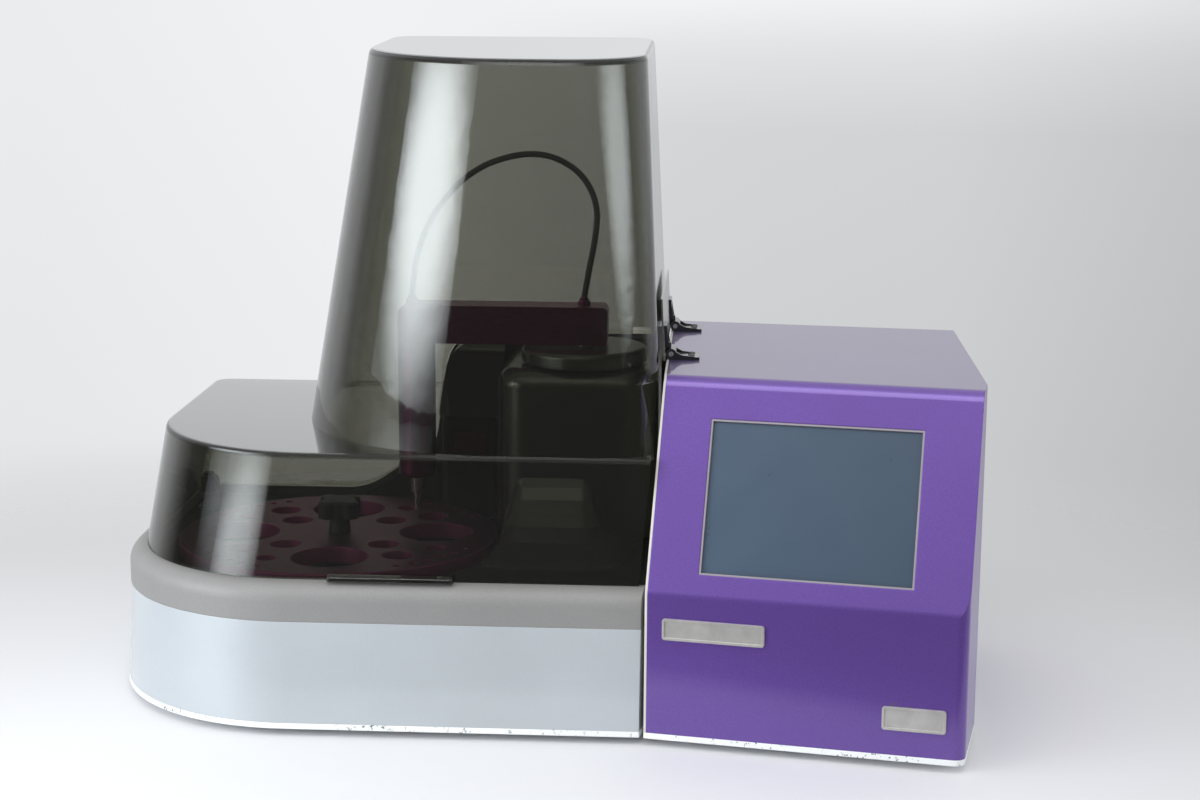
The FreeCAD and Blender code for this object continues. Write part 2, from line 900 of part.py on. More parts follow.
def arm_tube():
    """Straight runs joined by tangent arcs, swept by the tube's section."""
    points = tube_route()
    points[0] += (points[0] - points[1]).normalize()
    points[-1] += (points[-1] - points[-2]).normalize()
    edges = []
    last = points[0]
    shortest = None
    for before, here, after in zip(points, points[1:], points[2:]):
        back = before - here
        ahead = after - here
        half = back.getAngle(ahead) / 2
        reach = 0.45 * min(back.Length, ahead.Length)
        radius = reach * math.tan(half)
        shortest = radius if shortest is None else min(shortest, radius)
        print("tube arc radius %.1f mm" % radius)
        back.normalize()
        ahead.normalize()
        bisector = (back + ahead).normalize()
        start = here + back * reach
        end = here + ahead * reach
        middle = here + bisector * (radius / math.sin(half) - radius)
        edges.append(Part.LineSegment(last, start).toShape())
        edges.append(Part.Arc(start, middle, end).toShape())
        last = end
    edges.append(Part.LineSegment(last, points[-1]).toShape())
    path = Part.Wire(edges)
    section = Part.Wire(Part.Circle(points[0], points[1] - points[0], tube_diameter / 2).toShape())
    tube = path.makePipeShell([section], True, False)
    expected = math.pi * tube_diameter ** 2 / 4 * path.Length
    print("tube length %.1f, volume over section times length %.4f" % (path.Length, tube.Volume / expected))
    print("smallest tube radius %.1f mm, %.1f diameters" % (shortest, shortest / tube_diameter))
    return tube.cut(tube_glands())


# Lid

def edge_steps(radius):
    """Inset and drop of each line on a rounded edge, from the wall to the top."""
    steps = []
    for index in range(4):
        angle = math.radians(30 * index)
        steps.append((radius * (1 - math.cos(angle)), radius * (1 - math.sin(angle))))
    return steps


def skirt_section(inset, level, right_extra):
    """Outline of the lid's low part at one level."""
    bottom = rim_height + lid_seat_gap
    share = (level - bottom) / (ledge_height - bottom)
    low = (-base_width + shoulder_radius, shoulder_radius, skirt_right, skirt_rear, skirt_corner,
           base_rear_corner - shoulder_radius)
    high = (-ledge_left, ledge_front, ledge_right, ledge_rear, ledge_corner, ledge_rear_corner)
    left, front, right, rear, corner, rear_corner = [a + share * (b - a) for a, b in zip(low, high)]
    corners = [
        (left + inset, front + inset, corner - inset),
        (right + right_extra, front + inset, 0),
        (right + right_extra, rear - inset, 0),
        (left + inset, rear - inset, rear_corner),
    ]
    return outline(corners, level)


def skirt(inset, top, right_extra, edge):
    """Low part of the lid, with a rounded edge round its ledge."""
    wires = [skirt_section(inset, rim_height + lid_seat_gap, right_extra)]
    for more, drop in edge_steps(edge):
        wires.append(skirt_section(inset + more, top - drop, right_extra))
    return loft(wires)


def dome_corners(inset):
    """Each corner of the dome at the ledge and at the front's top: two (x, y, radius)."""
    low_left = -dome_left + inset
    low_right = dome_right - inset
    low_front = dome_front + inset
    low_rear = dome_rear - inset
    left = -dome_top_left + inset
    right = dome_top_right - inset
    front = dome_top_front + inset
    rear = dome_top_rear - inset
    back = dome_rear_corner - inset
    return [
        ((low_left, low_front, dome_corner - inset), (left, front, dome_top_corner - inset)),
        ((low_right, low_front, dome_small_corner - inset), (right, front, dome_top_small_corner - inset)),
        ((low_right, low_rear, back), (right, rear, back)),
        ((low_left, low_rear, back), (left, rear, back)),
    ]


def dome_section(inset, level, slope):
    """Outline of the dome on a plane that rises to the back from this level at the front."""
    points = []
    for low, high in dome_corners(inset):
        rise = dome_front_height - ledge_height
        run = high[1] - low[1]
        share = (level - ledge_height + (low[1] - dome_top_front) * slope) / (rise - run * slope)
        x, y, radius = [a + share * (b - a) for a, b in zip(low, high)]
        points.append((vec(x, y, ledge_height + share * rise), radius))
    return rounded_wire(points)


def dome(inset, bottom, edge):
    """Tapering dome with flat walls, round corners, a sloping top and a rounded crown."""
    slope = math.tan(math.radians(dome_top_tilt))
    wires = [dome_section(inset, bottom, 0)]
    for more, drop in edge_steps(edge):
        wires.append(dome_section(inset + more, dome_front_height - inset - drop, slope))
    return loft(wires)


def lid_solid():
    """Outside of the lid."""
    return skirt(0, ledge_height, 0, ledge_edge).fuse(dome(0, ledge_height - lid_wall, crown_edge))


def lid_shell():
    inner = skirt(lid_wall, ledge_height - lid_wall, 3 * seam_gap, inner_edge)
    inner = inner.fuse(dome(lid_wall, ledge_height - lid_wall, inner_edge))
    side = box(-lid_open_left, 3 * lid_open_left, lid_open_front, 2 * dome_rear, 0, lid_open_height)
    over_riser = riser(-lid_seat_gap, base_depth - riser_depth - 2 * lid_wall, 2 * base_depth)
    return lid_solid().cut(inner).cut(side).cut(over_riser).removeSplitter()


def lid_handle():
    left = -handle_centre - handle_length / 2
    right = -handle_centre + handle_length / 2
    front = shoulder_radius - handle_depth
    rear = shoulder_radius + lid_wall / 2
    corners = [
        (left, front, 3),
        (right, front, 3),
        (right, rear, 0),
        (left, rear, 0),
    ]
    low = rim_height + 2 * lid_seat_gap
    bar = prism(corners, low, low + handle_height)
    bar = bar.makeFillet(1.5, edges_at(bar, low) + edges_at(bar, low + handle_height))
    return bar.cut(lid_solid())


# Hinges. The wall of the dome leans, and the plate and moving leaves lean with it.

def wall_lean():
    return math.degrees(math.atan((dome_right - dome_top_right) / (dome_front_height - ledge_height)))


def wall_x():
    """Dome wall's outer face at the hinge's level."""
    share = (hinge_z - ledge_height) / (dome_front_height - ledge_height)
    return dome_right + share * (dome_top_right - dome_right)


def leaned(shape):
    shape = shape.copy()
    shape.rotate(vec(wall_x(), 0, hinge_z), vec(0, 1, 0), -wall_lean())
    return shape


def hinge_plate():
    low = hinge_z - hinge_rise
    x = wall_x() + hinge_plate_gap
    parts = [box(x, x + hinge_plate_thickness, hinge_plate_front, hinge_plate_rear,
                 low, low + hinge_plate_height)]
    for start, pin_low, pin_high, stop in hinge_spans():
        parts.append(box(wall_x() - 1, x, start, stop, hinge_z + 6, hinge_z + hinge_leaf_reach))
    return leaned(fuse(parts)).cut(lid_solid())


def knuckle(y0, y1, radius):
    return Part.makeCylinder(radius, y1 - y0, vec(hinge_x, y0, hinge_z), vec(0, 1, 0))


def pin_bore(y0, y1, extra):
    return knuckle(y0 - 1, y1 + 1, hinge_pin + extra)


def hinge_spans():
    spans = []
    for centre in (hinge_front_y, hinge_rear_y):
        start = centre - hinge_length / 2
        third = hinge_length / 3
        spans.append((start, start + third, start + 2 * third, start + hinge_length))
    return spans


def side_rib(corners, y0, y1):
    """Flat piece with a curved outline in the XZ plane."""
    face = Part.Face(outline(corners))
    face.rotate(vec(0, 0, 0), vec(1, 0, 0), 90)
    face.translate(vec(0, y1, 0))
    return face.extrude(vec(0, y0 - y1, 0))


def hinge_fixed_leaves():
    leaves = []
    top = console_height + hinge_leaf
    end = hinge_x + hinge_leaf_reach
    for start, low, high, stop in hinge_spans():
        leaf = box(hinge_x - 1, end, start, stop, console_height, top)
        rim = hinge_z + hinge_knuckle - 1
        rib = [(hinge_x, console_height, 0), (end - 4, console_height, 0), (end - 4, top + 0.5, 0),
               (hinge_x + 9, top + 1.5, 8), (hinge_x + 1, rim, 0), (hinge_x, rim, 0)]
        parts = [leaf]
        for y0, y1 in ((start, start + hinge_rib), (stop - hinge_rib, stop)):
            parts.append(side_rib(rib, y0, y1))
        parts.append(knuckle(start, low - 0.3, hinge_knuckle))
        parts.append(knuckle(high + 0.3, stop, hinge_knuckle))
        body = fuse(parts)
        body = body.cut(knuckle(low - 0.3, high + 0.3, hinge_knuckle + 0.6))
        for y in (start + 7, stop - 7):
            body = body.cut(rod(end - 7, y, console_height - 1, top + 9, 1.6))
        leaves.append(body.cut(pin_bore(start, stop, 0)))
    return group(leaves)


def hinge_moving_leaves():
    leaves = []
    x = wall_x() + hinge_plate_gap + hinge_plate_thickness
    for start, low, high, stop in hinge_spans():
        leaf = box(x, x + hinge_leaf, start, stop, hinge_z + 6, hinge_z + hinge_leaf_reach)
        foot = box(x, hinge_x, low + 0.1, high - 0.1, hinge_z - 1, hinge_z + 8)
        rib = [(x, hinge_z + 6, 0), (x + hinge_leaf + 1.5, hinge_z + 6, 0),
               (x + hinge_leaf + 0.5, hinge_z + 14, 8), (x + hinge_leaf, hinge_z + hinge_leaf_reach - 4, 0),
               (x, hinge_z + hinge_leaf_reach - 4, 0)]
        parts = [leaf, foot]
        for y0, y1 in ((start, start + hinge_rib), (stop - hinge_rib, stop)):
            parts.append(side_rib(rib, y0, y1))
        body = leaned(fuse(parts))
        body = fuse([body, knuckle(low + 0.1, high - 0.1, hinge_knuckle)])
        leaves.append(body.cut(pin_bore(start, stop, hinge_fit)))
    return group(leaves)


def hinge_pins():
    pins = []
    for start, low, high, stop in hinge_spans():
        pins.append(knuckle(start - 1, stop + 1, hinge_pin))
    return group(pins)


def hinge_screws():
    screws = []
    top = console_height + hinge_leaf
    end = hinge_x + hinge_leaf_reach
    for start, low, high, stop in hinge_spans():
        for y in (start + 7, stop - 7):
            shank = rod(end - 7, y, console_height, top, 1.6)
            head = rod(end - 7, y, top, top + 1.6, 2.9)
            screws.append(fuse([shank, head]))
    return group(screws)


# Console

def console_cover():
    outer = console_block(sheet_thickness, 0, 0, tray_thickness)
    inner = console_block(-3 * sheet_thickness, sheet_thickness, -3 * sheet_thickness,
                          tray_thickness - 1)
    opening = box(screen_left, screen_left + screen_width, screen_bottom,
                  screen_bottom + screen_height, -3 * screen_recess, 3)
    return outer.cut(inner).cut(panel_placed(opening))


def console_side_plate():
    full = console_block(0, 0, 0, tray_thickness)
    rest = console_block(sheet_thickness, -1, -2, 0)
    return full.cut(rest)


def rear_placed(shape):
    """Bring a shape drawn flat (X along, Y inwards, Z up) to the console's rear line."""
    left_x = on_face(0, console_side_left)[0]
    right_x = on_face(console_width, console_side_right)[0]
    angle = math.degrees(math.atan2(console_rear_right - console_rear_left, right_x - left_x))
    shape = shape.copy()
    shape.rotate(vec(0, 0, 0), vec(0, 0, 1), angle)
    shape.translate(vec(left_x, console_rear_left, 0))
    return shape


def rear_width():
    left_x = on_face(0, console_side_left)[0]
    right_x = on_face(console_width, console_side_right)[0]
    return math.hypot(right_x - left_x, console_rear_right - console_rear_left)


def console_back():
    thick = sheet_thickness
    panel = box(thick + rear_panel_gap, rear_width() - thick - rear_panel_gap, -2 * thick, -thick,
                tray_thickness, console_height - thick)
    cuts = [Part.makeCylinder(fan_radius, 20, vec(fan_x, -12, fan_z), vec(0, 1, 0)),
            box(inlet_x - 14, inlet_x + 14, -20, 5, inlet_z - 10, inlet_z + 10),
            box(switch_x - 11, switch_x + 11, -20, 5, inlet_z - 7.5, inlet_z + 7.5)]
    for row in range(6):
        z = fan_z - 60 - 8 * row
        cuts.append(box(fan_x - 36, fan_x + 36, -20, 5, z, z + 3))
    return rear_placed(panel.cut(group(cuts)))


def fan_frame():
    half = fan_radius + 2
    front = -2 * sheet_thickness
    corners = [(fan_x - half, fan_z - half, 4), (fan_x + half, fan_z - half, 4),
               (fan_x + half, fan_z + half, 4), (fan_x - half, fan_z + half, 4)]
    face = Part.Face(outline(corners))
    face.rotate(vec(0, 0, 0), vec(1, 0, 0), 90)
    face.translate(vec(0, front, 0))
    body = face.extrude(vec(0, -25, 0))
    body = body.cut(Part.makeCylinder(fan_radius - 1, 50, vec(fan_x, -40, fan_z), vec(0, 1, 0)))
    hub = Part.makeCylinder(15, 3, vec(fan_x, front - 25, fan_z), vec(0, 1, 0))
    spokes = [hub]
    for index in range(4):
        arm = box(fan_x, fan_x + fan_radius, front - 25, front - 22, fan_z - 2, fan_z + 2)
        arm.rotate(vec(fan_x, 0, fan_z), vec(0, 1, 0), 45 + 90 * index)
        spokes.append(arm)
    body = fuse([body] + spokes)
    return rear_placed(body.cut(Part.makeCylinder(2.5 + running_fit, 8, vec(fan_x, front - 27, fan_z), vec(0, 1, 0))))


def fan_rotor():
    front = -2 * sheet_thickness
    hub = Part.makeCylinder(14, 15, vec(fan_x, front - 20, fan_z), vec(0, 1, 0))
    shaft = Part.makeCylinder(2.5, 6, vec(fan_x, front - 26, fan_z), vec(0, 1, 0))
    blades = []
    for index in range(7):
        blade = box(fan_x + 12, fan_x + fan_radius - 3, front - 13, front - 11.5, fan_z - 8, fan_z + 8)
        blade.rotate(vec(fan_x, front - 12, fan_z), vec(1, 0, 0), 32)
        blade.rotate(vec(fan_x, 0, fan_z), vec(0, 1, 0), 360 * index / 7)
        blades.append(blade)
    return rear_placed(fuse([hub, shaft] + blades))


def fan_guard():
    low = -sheet_thickness
    rings = []
    for radius in (10, 17, 24, 31, 38):
        hoop = Part.makeCylinder(radius + 0.8, 1.4, vec(fan_x, low + 1.5, fan_z), vec(0, 1, 0))
        hole = Part.makeCylinder(radius - 0.8, 3, vec(fan_x, low + 1, fan_z), vec(0, 1, 0))
        rings.append(hoop.cut(hole))
    for index in range(4):
        wire = box(fan_x, fan_x + fan_radius + 6, low, low + 1.7, fan_z - 1, fan_z + 1)
        wire.rotate(vec(fan_x, 0, fan_z), vec(0, 1, 0), 45 + 90 * index)
        rings.append(wire)
    return rear_placed(fuse(rings))


def mains_inlet():
    low = -sheet_thickness
    flange = box(inlet_x - 24, inlet_x + 20, low, low + 3, inlet_z - 14, inlet_z + 14)
    body = box(inlet_x - 14, inlet_x + 14, low - 20, low, inlet_z - 10, inlet_z + 10)
    recess = box(inlet_x - 12, inlet_x + 12, low - 15, low + 4, inlet_z - 8, inlet_z + 8)
    part = fuse([flange, body]).cut(recess)
    blades = []
    for dx, dz in ((-7, -2), (0, 2), (7, -2)):
        blades.append(box(inlet_x + dx - 1, inlet_x + dx + 1, low - 16, low - 3,
                          inlet_z + dz - 2, inlet_z + dz + 2))
    return rear_placed(fuse([part] + blades))


def rocker_pivot(radius, length):
    """Bar of this radius along the rocker's axis."""
    return rod(switch_x, -sheet_thickness - rocker_depth, inlet_z - length / 2, inlet_z + length / 2, radius)


def switch_housing():
    low = -sheet_thickness
    flange = box(switch_x - 15, switch_x + 15, low, low + 2, inlet_z - 10.5, inlet_z + 10.5)
    body = box(switch_x - 11, switch_x + 11, low - 16, low, inlet_z - 7.5, inlet_z + 7.5)
    recess = box(switch_x - 9.5, switch_x + 9.5, low - 12, low + 3, inlet_z - 6, inlet_z + 6)
    bores = rocker_pivot(rocker_pin + running_fit, rocker_pin_length + 0.4)
    return rear_placed(fuse([flange, body]).cut(recess).cut(bores))


def rocker_switch():
    """Rocker on its two pins, pressed in on its left half."""
    corners = [(-8.2, 5.0, 0), (0, 3.0, 0), (8.2, 5.0, 0), (8.2, 1.6, 0), (0, -4.0, 4), (-8.2, 1.6, 0)]
    face = Part.Face(outline(corners))
    key = face.extrude(vec(0, 0, 11.2))
    key.rotate(vec(0, 0, 0), vec(0, 0, 1), 10)
    key.translate(vec(switch_x, -sheet_thickness - rocker_depth, inlet_z - 5.6))
    return rear_placed(fuse([key, rocker_pivot(rocker_pin, rocker_pin_length)]))


def touch_screen():
    gap = 0.2
    edge = frame_edge + gap
    glass = box(screen_left + edge, screen_left + screen_width - edge, screen_bottom + edge,
                screen_bottom + screen_height - edge,
                -screen_recess - glass_thickness, -screen_recess)
    return panel_placed(glass)


def screen_frame():
    """Thin folded frame that lines the opening and holds the glass from behind."""
    outer = box(screen_left + 0.05, screen_left + screen_width - 0.05, screen_bottom + 0.05,
                screen_bottom + screen_height - 0.05, -screen_recess - glass_thickness, -0.4)
    flange = box(screen_left - 8, screen_left + screen_width + 8, screen_bottom - 8,
                 screen_bottom + screen_height + 8,
                 -screen_recess - glass_thickness - 1.5, -screen_recess - glass_thickness)
    body = fuse([outer, flange])
    opening = box(screen_left + frame_edge, screen_left + screen_width - frame_edge,
                  screen_bottom + frame_edge, screen_bottom + screen_height - frame_edge, -20, 3)
    return panel_placed(body.cut(opening))


def display_module():
    low = -screen_recess - glass_thickness - 9
    high = -screen_recess - glass_thickness
    body = box(screen_left + 4, screen_left + screen_width - 4, screen_bottom + 4,
               screen_bottom + screen_height - 4, low, high)
    return panel_placed(body)


def badge(left, low, wide, high):
    corners = [(left, low, 2.5), (left + wide, low, 2.5),
               (left + wide, low + high, 2.5), (left, low + high, 2.5)]
    plate = prism(corners, 0, 1.8)
    sunk = [(left + 2, low + 2, 1), (left + wide - 2, low + 2, 1),
            (left + wide - 2, low + high - 2, 1), (left + 2, low + high - 2, 1)]
    return lower_placed(plate.cut(prism(sunk, 1.0, 3)))


def large_plate():
    return badge(14.7, fold_height - 37, 83.3, 17.7)


def small_plate():
    return badge(193.0, 26.0, 50.5, 19.2)


def power_supply():
    x, y = on_face(60, 150)
    return box(x, x + 110, y, y + 90, tray_thickness, tray_thickness + 42)


def controller_board():
    x, y = on_face(50, 60)
    return box(x, x + 150, y, y + 70, tray_thickness + 8, tray_thickness + 9.6)


def board_standoffs():
    x, y = on_face(50, 60)
    posts = []
    for dx in (6, 144):
        for dy in (6, 64):
            posts.append(rod(x + dx, y + dy, tray_thickness, tray_thickness + 8, 3))
    return group(posts)


def fluid_pump():
    x, y = on_face(200, 190)
    body = box(x - 20, x + 20, y - 25, y + 25, tray_thickness, tray_thickness + 60)
    head = rod(x, y, tray_thickness + 60, tray_thickness + 105, 14)
    return fuse([body, head])


def save(name, shape):
    """Shift a piece from the seam point to the footprint's centre and write it."""
    left = -base_width - base_draft
    right = on_face(console_width, console_side_right)[0]
    corner = on_face(console_width - console_edge_radius, console_edge_radius)
    front = corner[1] - console_edge_radius
    rear = base_depth + base_draft
    shape = shape.copy()
    shape.translate(vec(-(left + right) / 2, -(front + rear) / 2, foot_height))
    shape.exportStep("parts/" + name + ".step")


pieces = [
    chassis_tray, rubber_feet, base_housing, base_band, deck_liner, tower_cover,
    scanner_hood, scanner_block, scanner_window, lid_sensor, lid_sensor_bracket,
    carousel_plate, carousel_hub, carousel_spindle, carousel_bearing, carousel_motor,
    carousel_knob, knob_stud, tower_column, turret_bearing, turret_hub, turret_cap, drive_pulley,
    swing_motor, motor_pulley, swing_belt, lift_motor, lift_mast, guide_rod,
    arm_beam, arm_leg, probe_barrel, probe_nozzle, tube_glands, arm_tube,
    lid_shell, lid_handle, hinge_plate, hinge_fixed_leaves, hinge_moving_leaves,
    hinge_pins, hinge_screws, console_cover, console_side_plate, console_back,
    fan_frame, fan_rotor, fan_guard, mains_inlet, switch_housing, rocker_switch,
    touch_screen, screen_frame, display_module, large_plate, small_plate,
    power_supply, controller_board, board_standoffs, fluid_pump,
]

os.makedirs("parts", exist_ok=True)
for piece in pieces:
    save(piece.__name__, piece())
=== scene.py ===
import json
import math

import bmesh
import bpy
from mathutils import Matrix, Vector


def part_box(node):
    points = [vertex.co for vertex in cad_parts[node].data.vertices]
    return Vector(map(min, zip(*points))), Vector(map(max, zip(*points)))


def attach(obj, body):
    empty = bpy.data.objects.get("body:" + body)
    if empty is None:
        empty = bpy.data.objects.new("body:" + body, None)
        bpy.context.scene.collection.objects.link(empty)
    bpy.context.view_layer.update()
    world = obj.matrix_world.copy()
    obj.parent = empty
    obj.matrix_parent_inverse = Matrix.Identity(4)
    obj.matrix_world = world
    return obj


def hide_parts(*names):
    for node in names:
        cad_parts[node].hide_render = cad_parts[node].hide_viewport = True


bl_info = {
    "name": "Cell separator finishes",
    "version": (1, 0, 0),
    "blender": (4, 5, 0),
    "location": "3D View > Sidebar > Separator",
    "description": "Finishes, small pieces, light and camera for an automated cell separator",
    "category": "Object",
}

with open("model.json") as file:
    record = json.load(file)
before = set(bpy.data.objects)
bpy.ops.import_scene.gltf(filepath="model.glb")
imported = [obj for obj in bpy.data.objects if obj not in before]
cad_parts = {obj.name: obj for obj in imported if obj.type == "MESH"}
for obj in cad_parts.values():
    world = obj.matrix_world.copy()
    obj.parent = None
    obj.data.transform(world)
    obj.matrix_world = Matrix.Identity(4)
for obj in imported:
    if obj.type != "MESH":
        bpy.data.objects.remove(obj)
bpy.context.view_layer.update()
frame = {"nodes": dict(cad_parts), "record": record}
SLOT_OF = {part["node"]: part["material_slot"] for part in frame["record"]["subparts"]}

# The seam point is the front bottom corner where the base meets the console.
# The camera stands where the photographer stood, measured from that point.
SEAM = Vector((0.090085, -0.159760, 0.007))
CAMERA_FROM_SEAM = Vector((0.063935, -1.713439, 0.613269))
CAMERA_TURN = math.radians(3.2)
CAMERA_DOWN = math.radians(11.03)
CAMERA_ROLL = math.radians(0.344)
LENS = 66.18
SENSOR_WIDTH = 36.0

# The lid's acrylic: how much it bends light, how much a metre of it takes, and its polish.
ACRYLIC_IOR = 1.62
ACRYLIC_ABSORPTION = 105.0
ACRYLIC_POLISH = 0.02

# The cream strip on the base's rise lies between these depths below the top of the rise; under it the
# rise's face gets a painted shade.
STRIP_TOP_DEPTH = 0.0080
STRIP_FOOT_DEPTH = 0.0128

# Facing rings on the carousel, as noise steps in each metre of radius.
FACING_RINGS = 1400.0

# Screws of the hinge leaves: spacing in a pair, height of a head, and its socket's middle to corner.
SCREW_PITCH = 0.011
SCREW_HEAD = 0.0016
SCREW_SOCKET = 0.0012

# Lamps look at this point. Each glows evenly out to its core and fades to its rim.
LAMP_TARGET = Vector((0.0, 0.0, 0.25))
LAMP_CORE = 0.15
LAMP_RIM = 0.62
LAMP_RIM_GLOW = 0.12
COOL_LIGHT = (0.88, 0.94, 1.0)
WHITE_LIGHT = (1.0, 1.0, 1.0)

# Name, degrees round and up, distance, width, height, power, glow of the core, and tint.
SOFTBOXES = [
    ("left_softbox", -60, 13, 2.0, 1.8, 0.7, 18, 2.4, COOL_LIGHT),
    ("left_low_softbox", -58, -2, 2.0, 1.5, 0.3, 1.7, 1.4, COOL_LIGHT),
    ("left_near_softbox", -52, -7, 1.0, 0.45, 0.24, 1.1, 1.4, COOL_LIGHT),
    ("right_softbox", 68, 15, 2.2, 1.9, 0.6, 6, 2.4, COOL_LIGHT),
    ("front_softbox", -12, 52, 2.4, 2.8, 1.8, 30, 1.2, WHITE_LIGHT),
]

# The floor fades out between two distances from its middle, and between two depths it goes from painted
# light at the front to painted shade at the rear. What mirrors it sees it end between two distances in
# front of the base.
FLOOR_RADIUS = 4.0
FLOOR_FADE = (0.30, 1.15)
FLOOR_DEPTH = (-0.45, 0.35)
MIRRORED_FLOOR_EDGE = (0.15, 0.20)


# Nodes

class Recipe:
    """A material with its main shader, and short ways to add and join nodes."""

    def __init__(self, name, colour, roughness, metallic=0.0, ior=1.5):
        self.material = bpy.data.materials.new(name)
        self.material.use_nodes = True
        self.nodes = self.material.node_tree.nodes
        self.links = self.material.node_tree.links
        self.shader = self.nodes["Principled BSDF"]
        self.shader.inputs["Base Color"].default_value = (*colour, 1.0)
        self.shader.inputs["Roughness"].default_value = roughness
        self.shader.inputs["Metallic"].default_value = metallic
        self.shader.inputs["IOR"].default_value = ior
        self.colour = (*colour, 1.0)
        self.height = None
        self.place = self.add("ShaderNodeTexCoord").outputs["Object"]

    def add(self, kind, **values):
        """A new node, with values for its inputs or its own settings."""
        node = self.nodes.new(kind)
        for key, value in values.items():
            if key in node.inputs:
                node.inputs[key].default_value = value
            else:
                setattr(node, key, value)
        return node

    def join(self, source, target):
        self.links.new(source, target)

    def set(self, **values):
        """Plain values for the main shader's inputs."""
        for key, value in values.items():
            self.shader.inputs[key.replace("_", " ")].default_value = value

    def noise(self, size, detail=3.0, roughness=0.5, stretch=(1, 1, 1)):
        """Noise whose grain has about this size in metres."""
        mapping = self.add("ShaderNodeMapping")
        mapping.inputs["Scale"].default_value = stretch
        self.join(self.place, mapping.inputs["Vector"])
        node = self.add("ShaderNodeTexNoise", Scale=1 / size, Detail=detail, Roughness=roughness)
        self.join(mapping.outputs["Vector"], node.inputs["Vector"])
        return node.outputs["Fac"]

    def parts(self, vector):
        """The X, Y and Z sockets of a vector."""
        node = self.add("ShaderNodeSeparateXYZ")
        self.join(vector, node.inputs[0])
        return node.outputs

    def normal(self):
        """The X, Y and Z sockets of the surface's direction."""
        return self.parts(self.add("ShaderNodeTexCoord").outputs["Normal"])

    def cells(self, size):
        """Random colours in cells of about this size in metres."""
        node = self.add("ShaderNodeTexVoronoi", Scale=1 / size)
        self.join(self.place, node.inputs["Vector"])
        return node.outputs["Color"]

    def band(self, value, low, high, to_low=0.0, to_high=1.0):
        """Values from low to high spread over to_low to to_high."""
        node = self.add("ShaderNodeMapRange")
        node.inputs["From Min"].default_value = low
        node.inputs["From Max"].default_value = high
        node.inputs["To Min"].default_value = to_low
        node.inputs["To Max"].default_value = to_high
        self.join(value, node.inputs["Value"])
        return node.outputs["Result"]

    def maths(self, operation, first, second=0.0):
        """Result of an operation on two numbers or sockets."""
        node = self.add("ShaderNodeMath", operation=operation)
        for socket, value in zip(node.inputs, (first, second)):
            if isinstance(value, (int, float)):
                socket.default_value = value
            else:
                self.join(value, socket)
        return node.outputs["Value"]

    def blend(self, amount, first, second):
        """Colour between two colours or colour sockets."""
        node = self.add("ShaderNodeMix", data_type="RGBA")
        sockets = (node.inputs["Factor"], node.inputs[6], node.inputs[7])
        for socket, value in zip(sockets, (amount, first, second)):
            if hasattr(value, "is_linked"):
                self.join(value, socket)
            elif isinstance(value, (int, float)):
                socket.default_value = value
            else:
                socket.default_value = value if len(value) == 4 else (*value, 1.0)
        return node.outputs[2]

    def paint(self, socket):
        """Takes the surface's colour from a socket."""
        self.join(socket, self.shader.inputs["Base Color"])

    def shine(self, socket):
        """Takes the surface's roughness from a socket."""
        self.join(socket, self.shader.inputs["Roughness"])

    def bump(self, height, depth, strength=1.0):
        """Relief of this depth in metres, on top of any relief added before."""
        node = self.add("ShaderNodeBump", Strength=strength, Distance=depth)
        self.join(height, node.inputs["Height"])
        if self.height is not None:
            self.join(self.height, node.inputs["Normal"])
        self.height = node.outputs["Normal"]
        self.join(self.height, self.shader.inputs["Normal"])

    def soft_edges(self, radius):
        """Rounds the look of sharp edges."""
        node = self.add("ShaderNodeBevel", Radius=radius, samples=6)
        self.height = node.outputs["Normal"]
        self.join(self.height, self.shader.inputs["Normal"])


# Finishes

def lacquer(name, colour, flake, roughness, metallic, coat=1.0):
    """Metallic lacquer: fine flakes under a clear coat with a faint ripple."""
    recipe = Recipe(name, colour, roughness, metallic)
    recipe.set(Coat_Weight=coat, Coat_Roughness=0.04, Coat_IOR=1.5)
    recipe.soft_edges(0.0012)
    flakes = recipe.band(recipe.cells(0.0005), 0.0, 1.0, 1.0 - flake, 1.0 + flake)
    drift = recipe.band(recipe.noise(0.12, 2.0), 0.3, 0.7, 0.95, 1.04)
    light = recipe.maths("MULTIPLY", flakes, drift)
    scale = recipe.add("ShaderNodeVectorMath", operation="SCALE")
    scale.inputs[0].default_value = colour
    recipe.join(light, scale.inputs["Scale"])
    recipe.paint(scale.outputs["Vector"])
    recipe.bump(recipe.noise(0.0035, 2.0), 0.00002, 0.5)
    return recipe


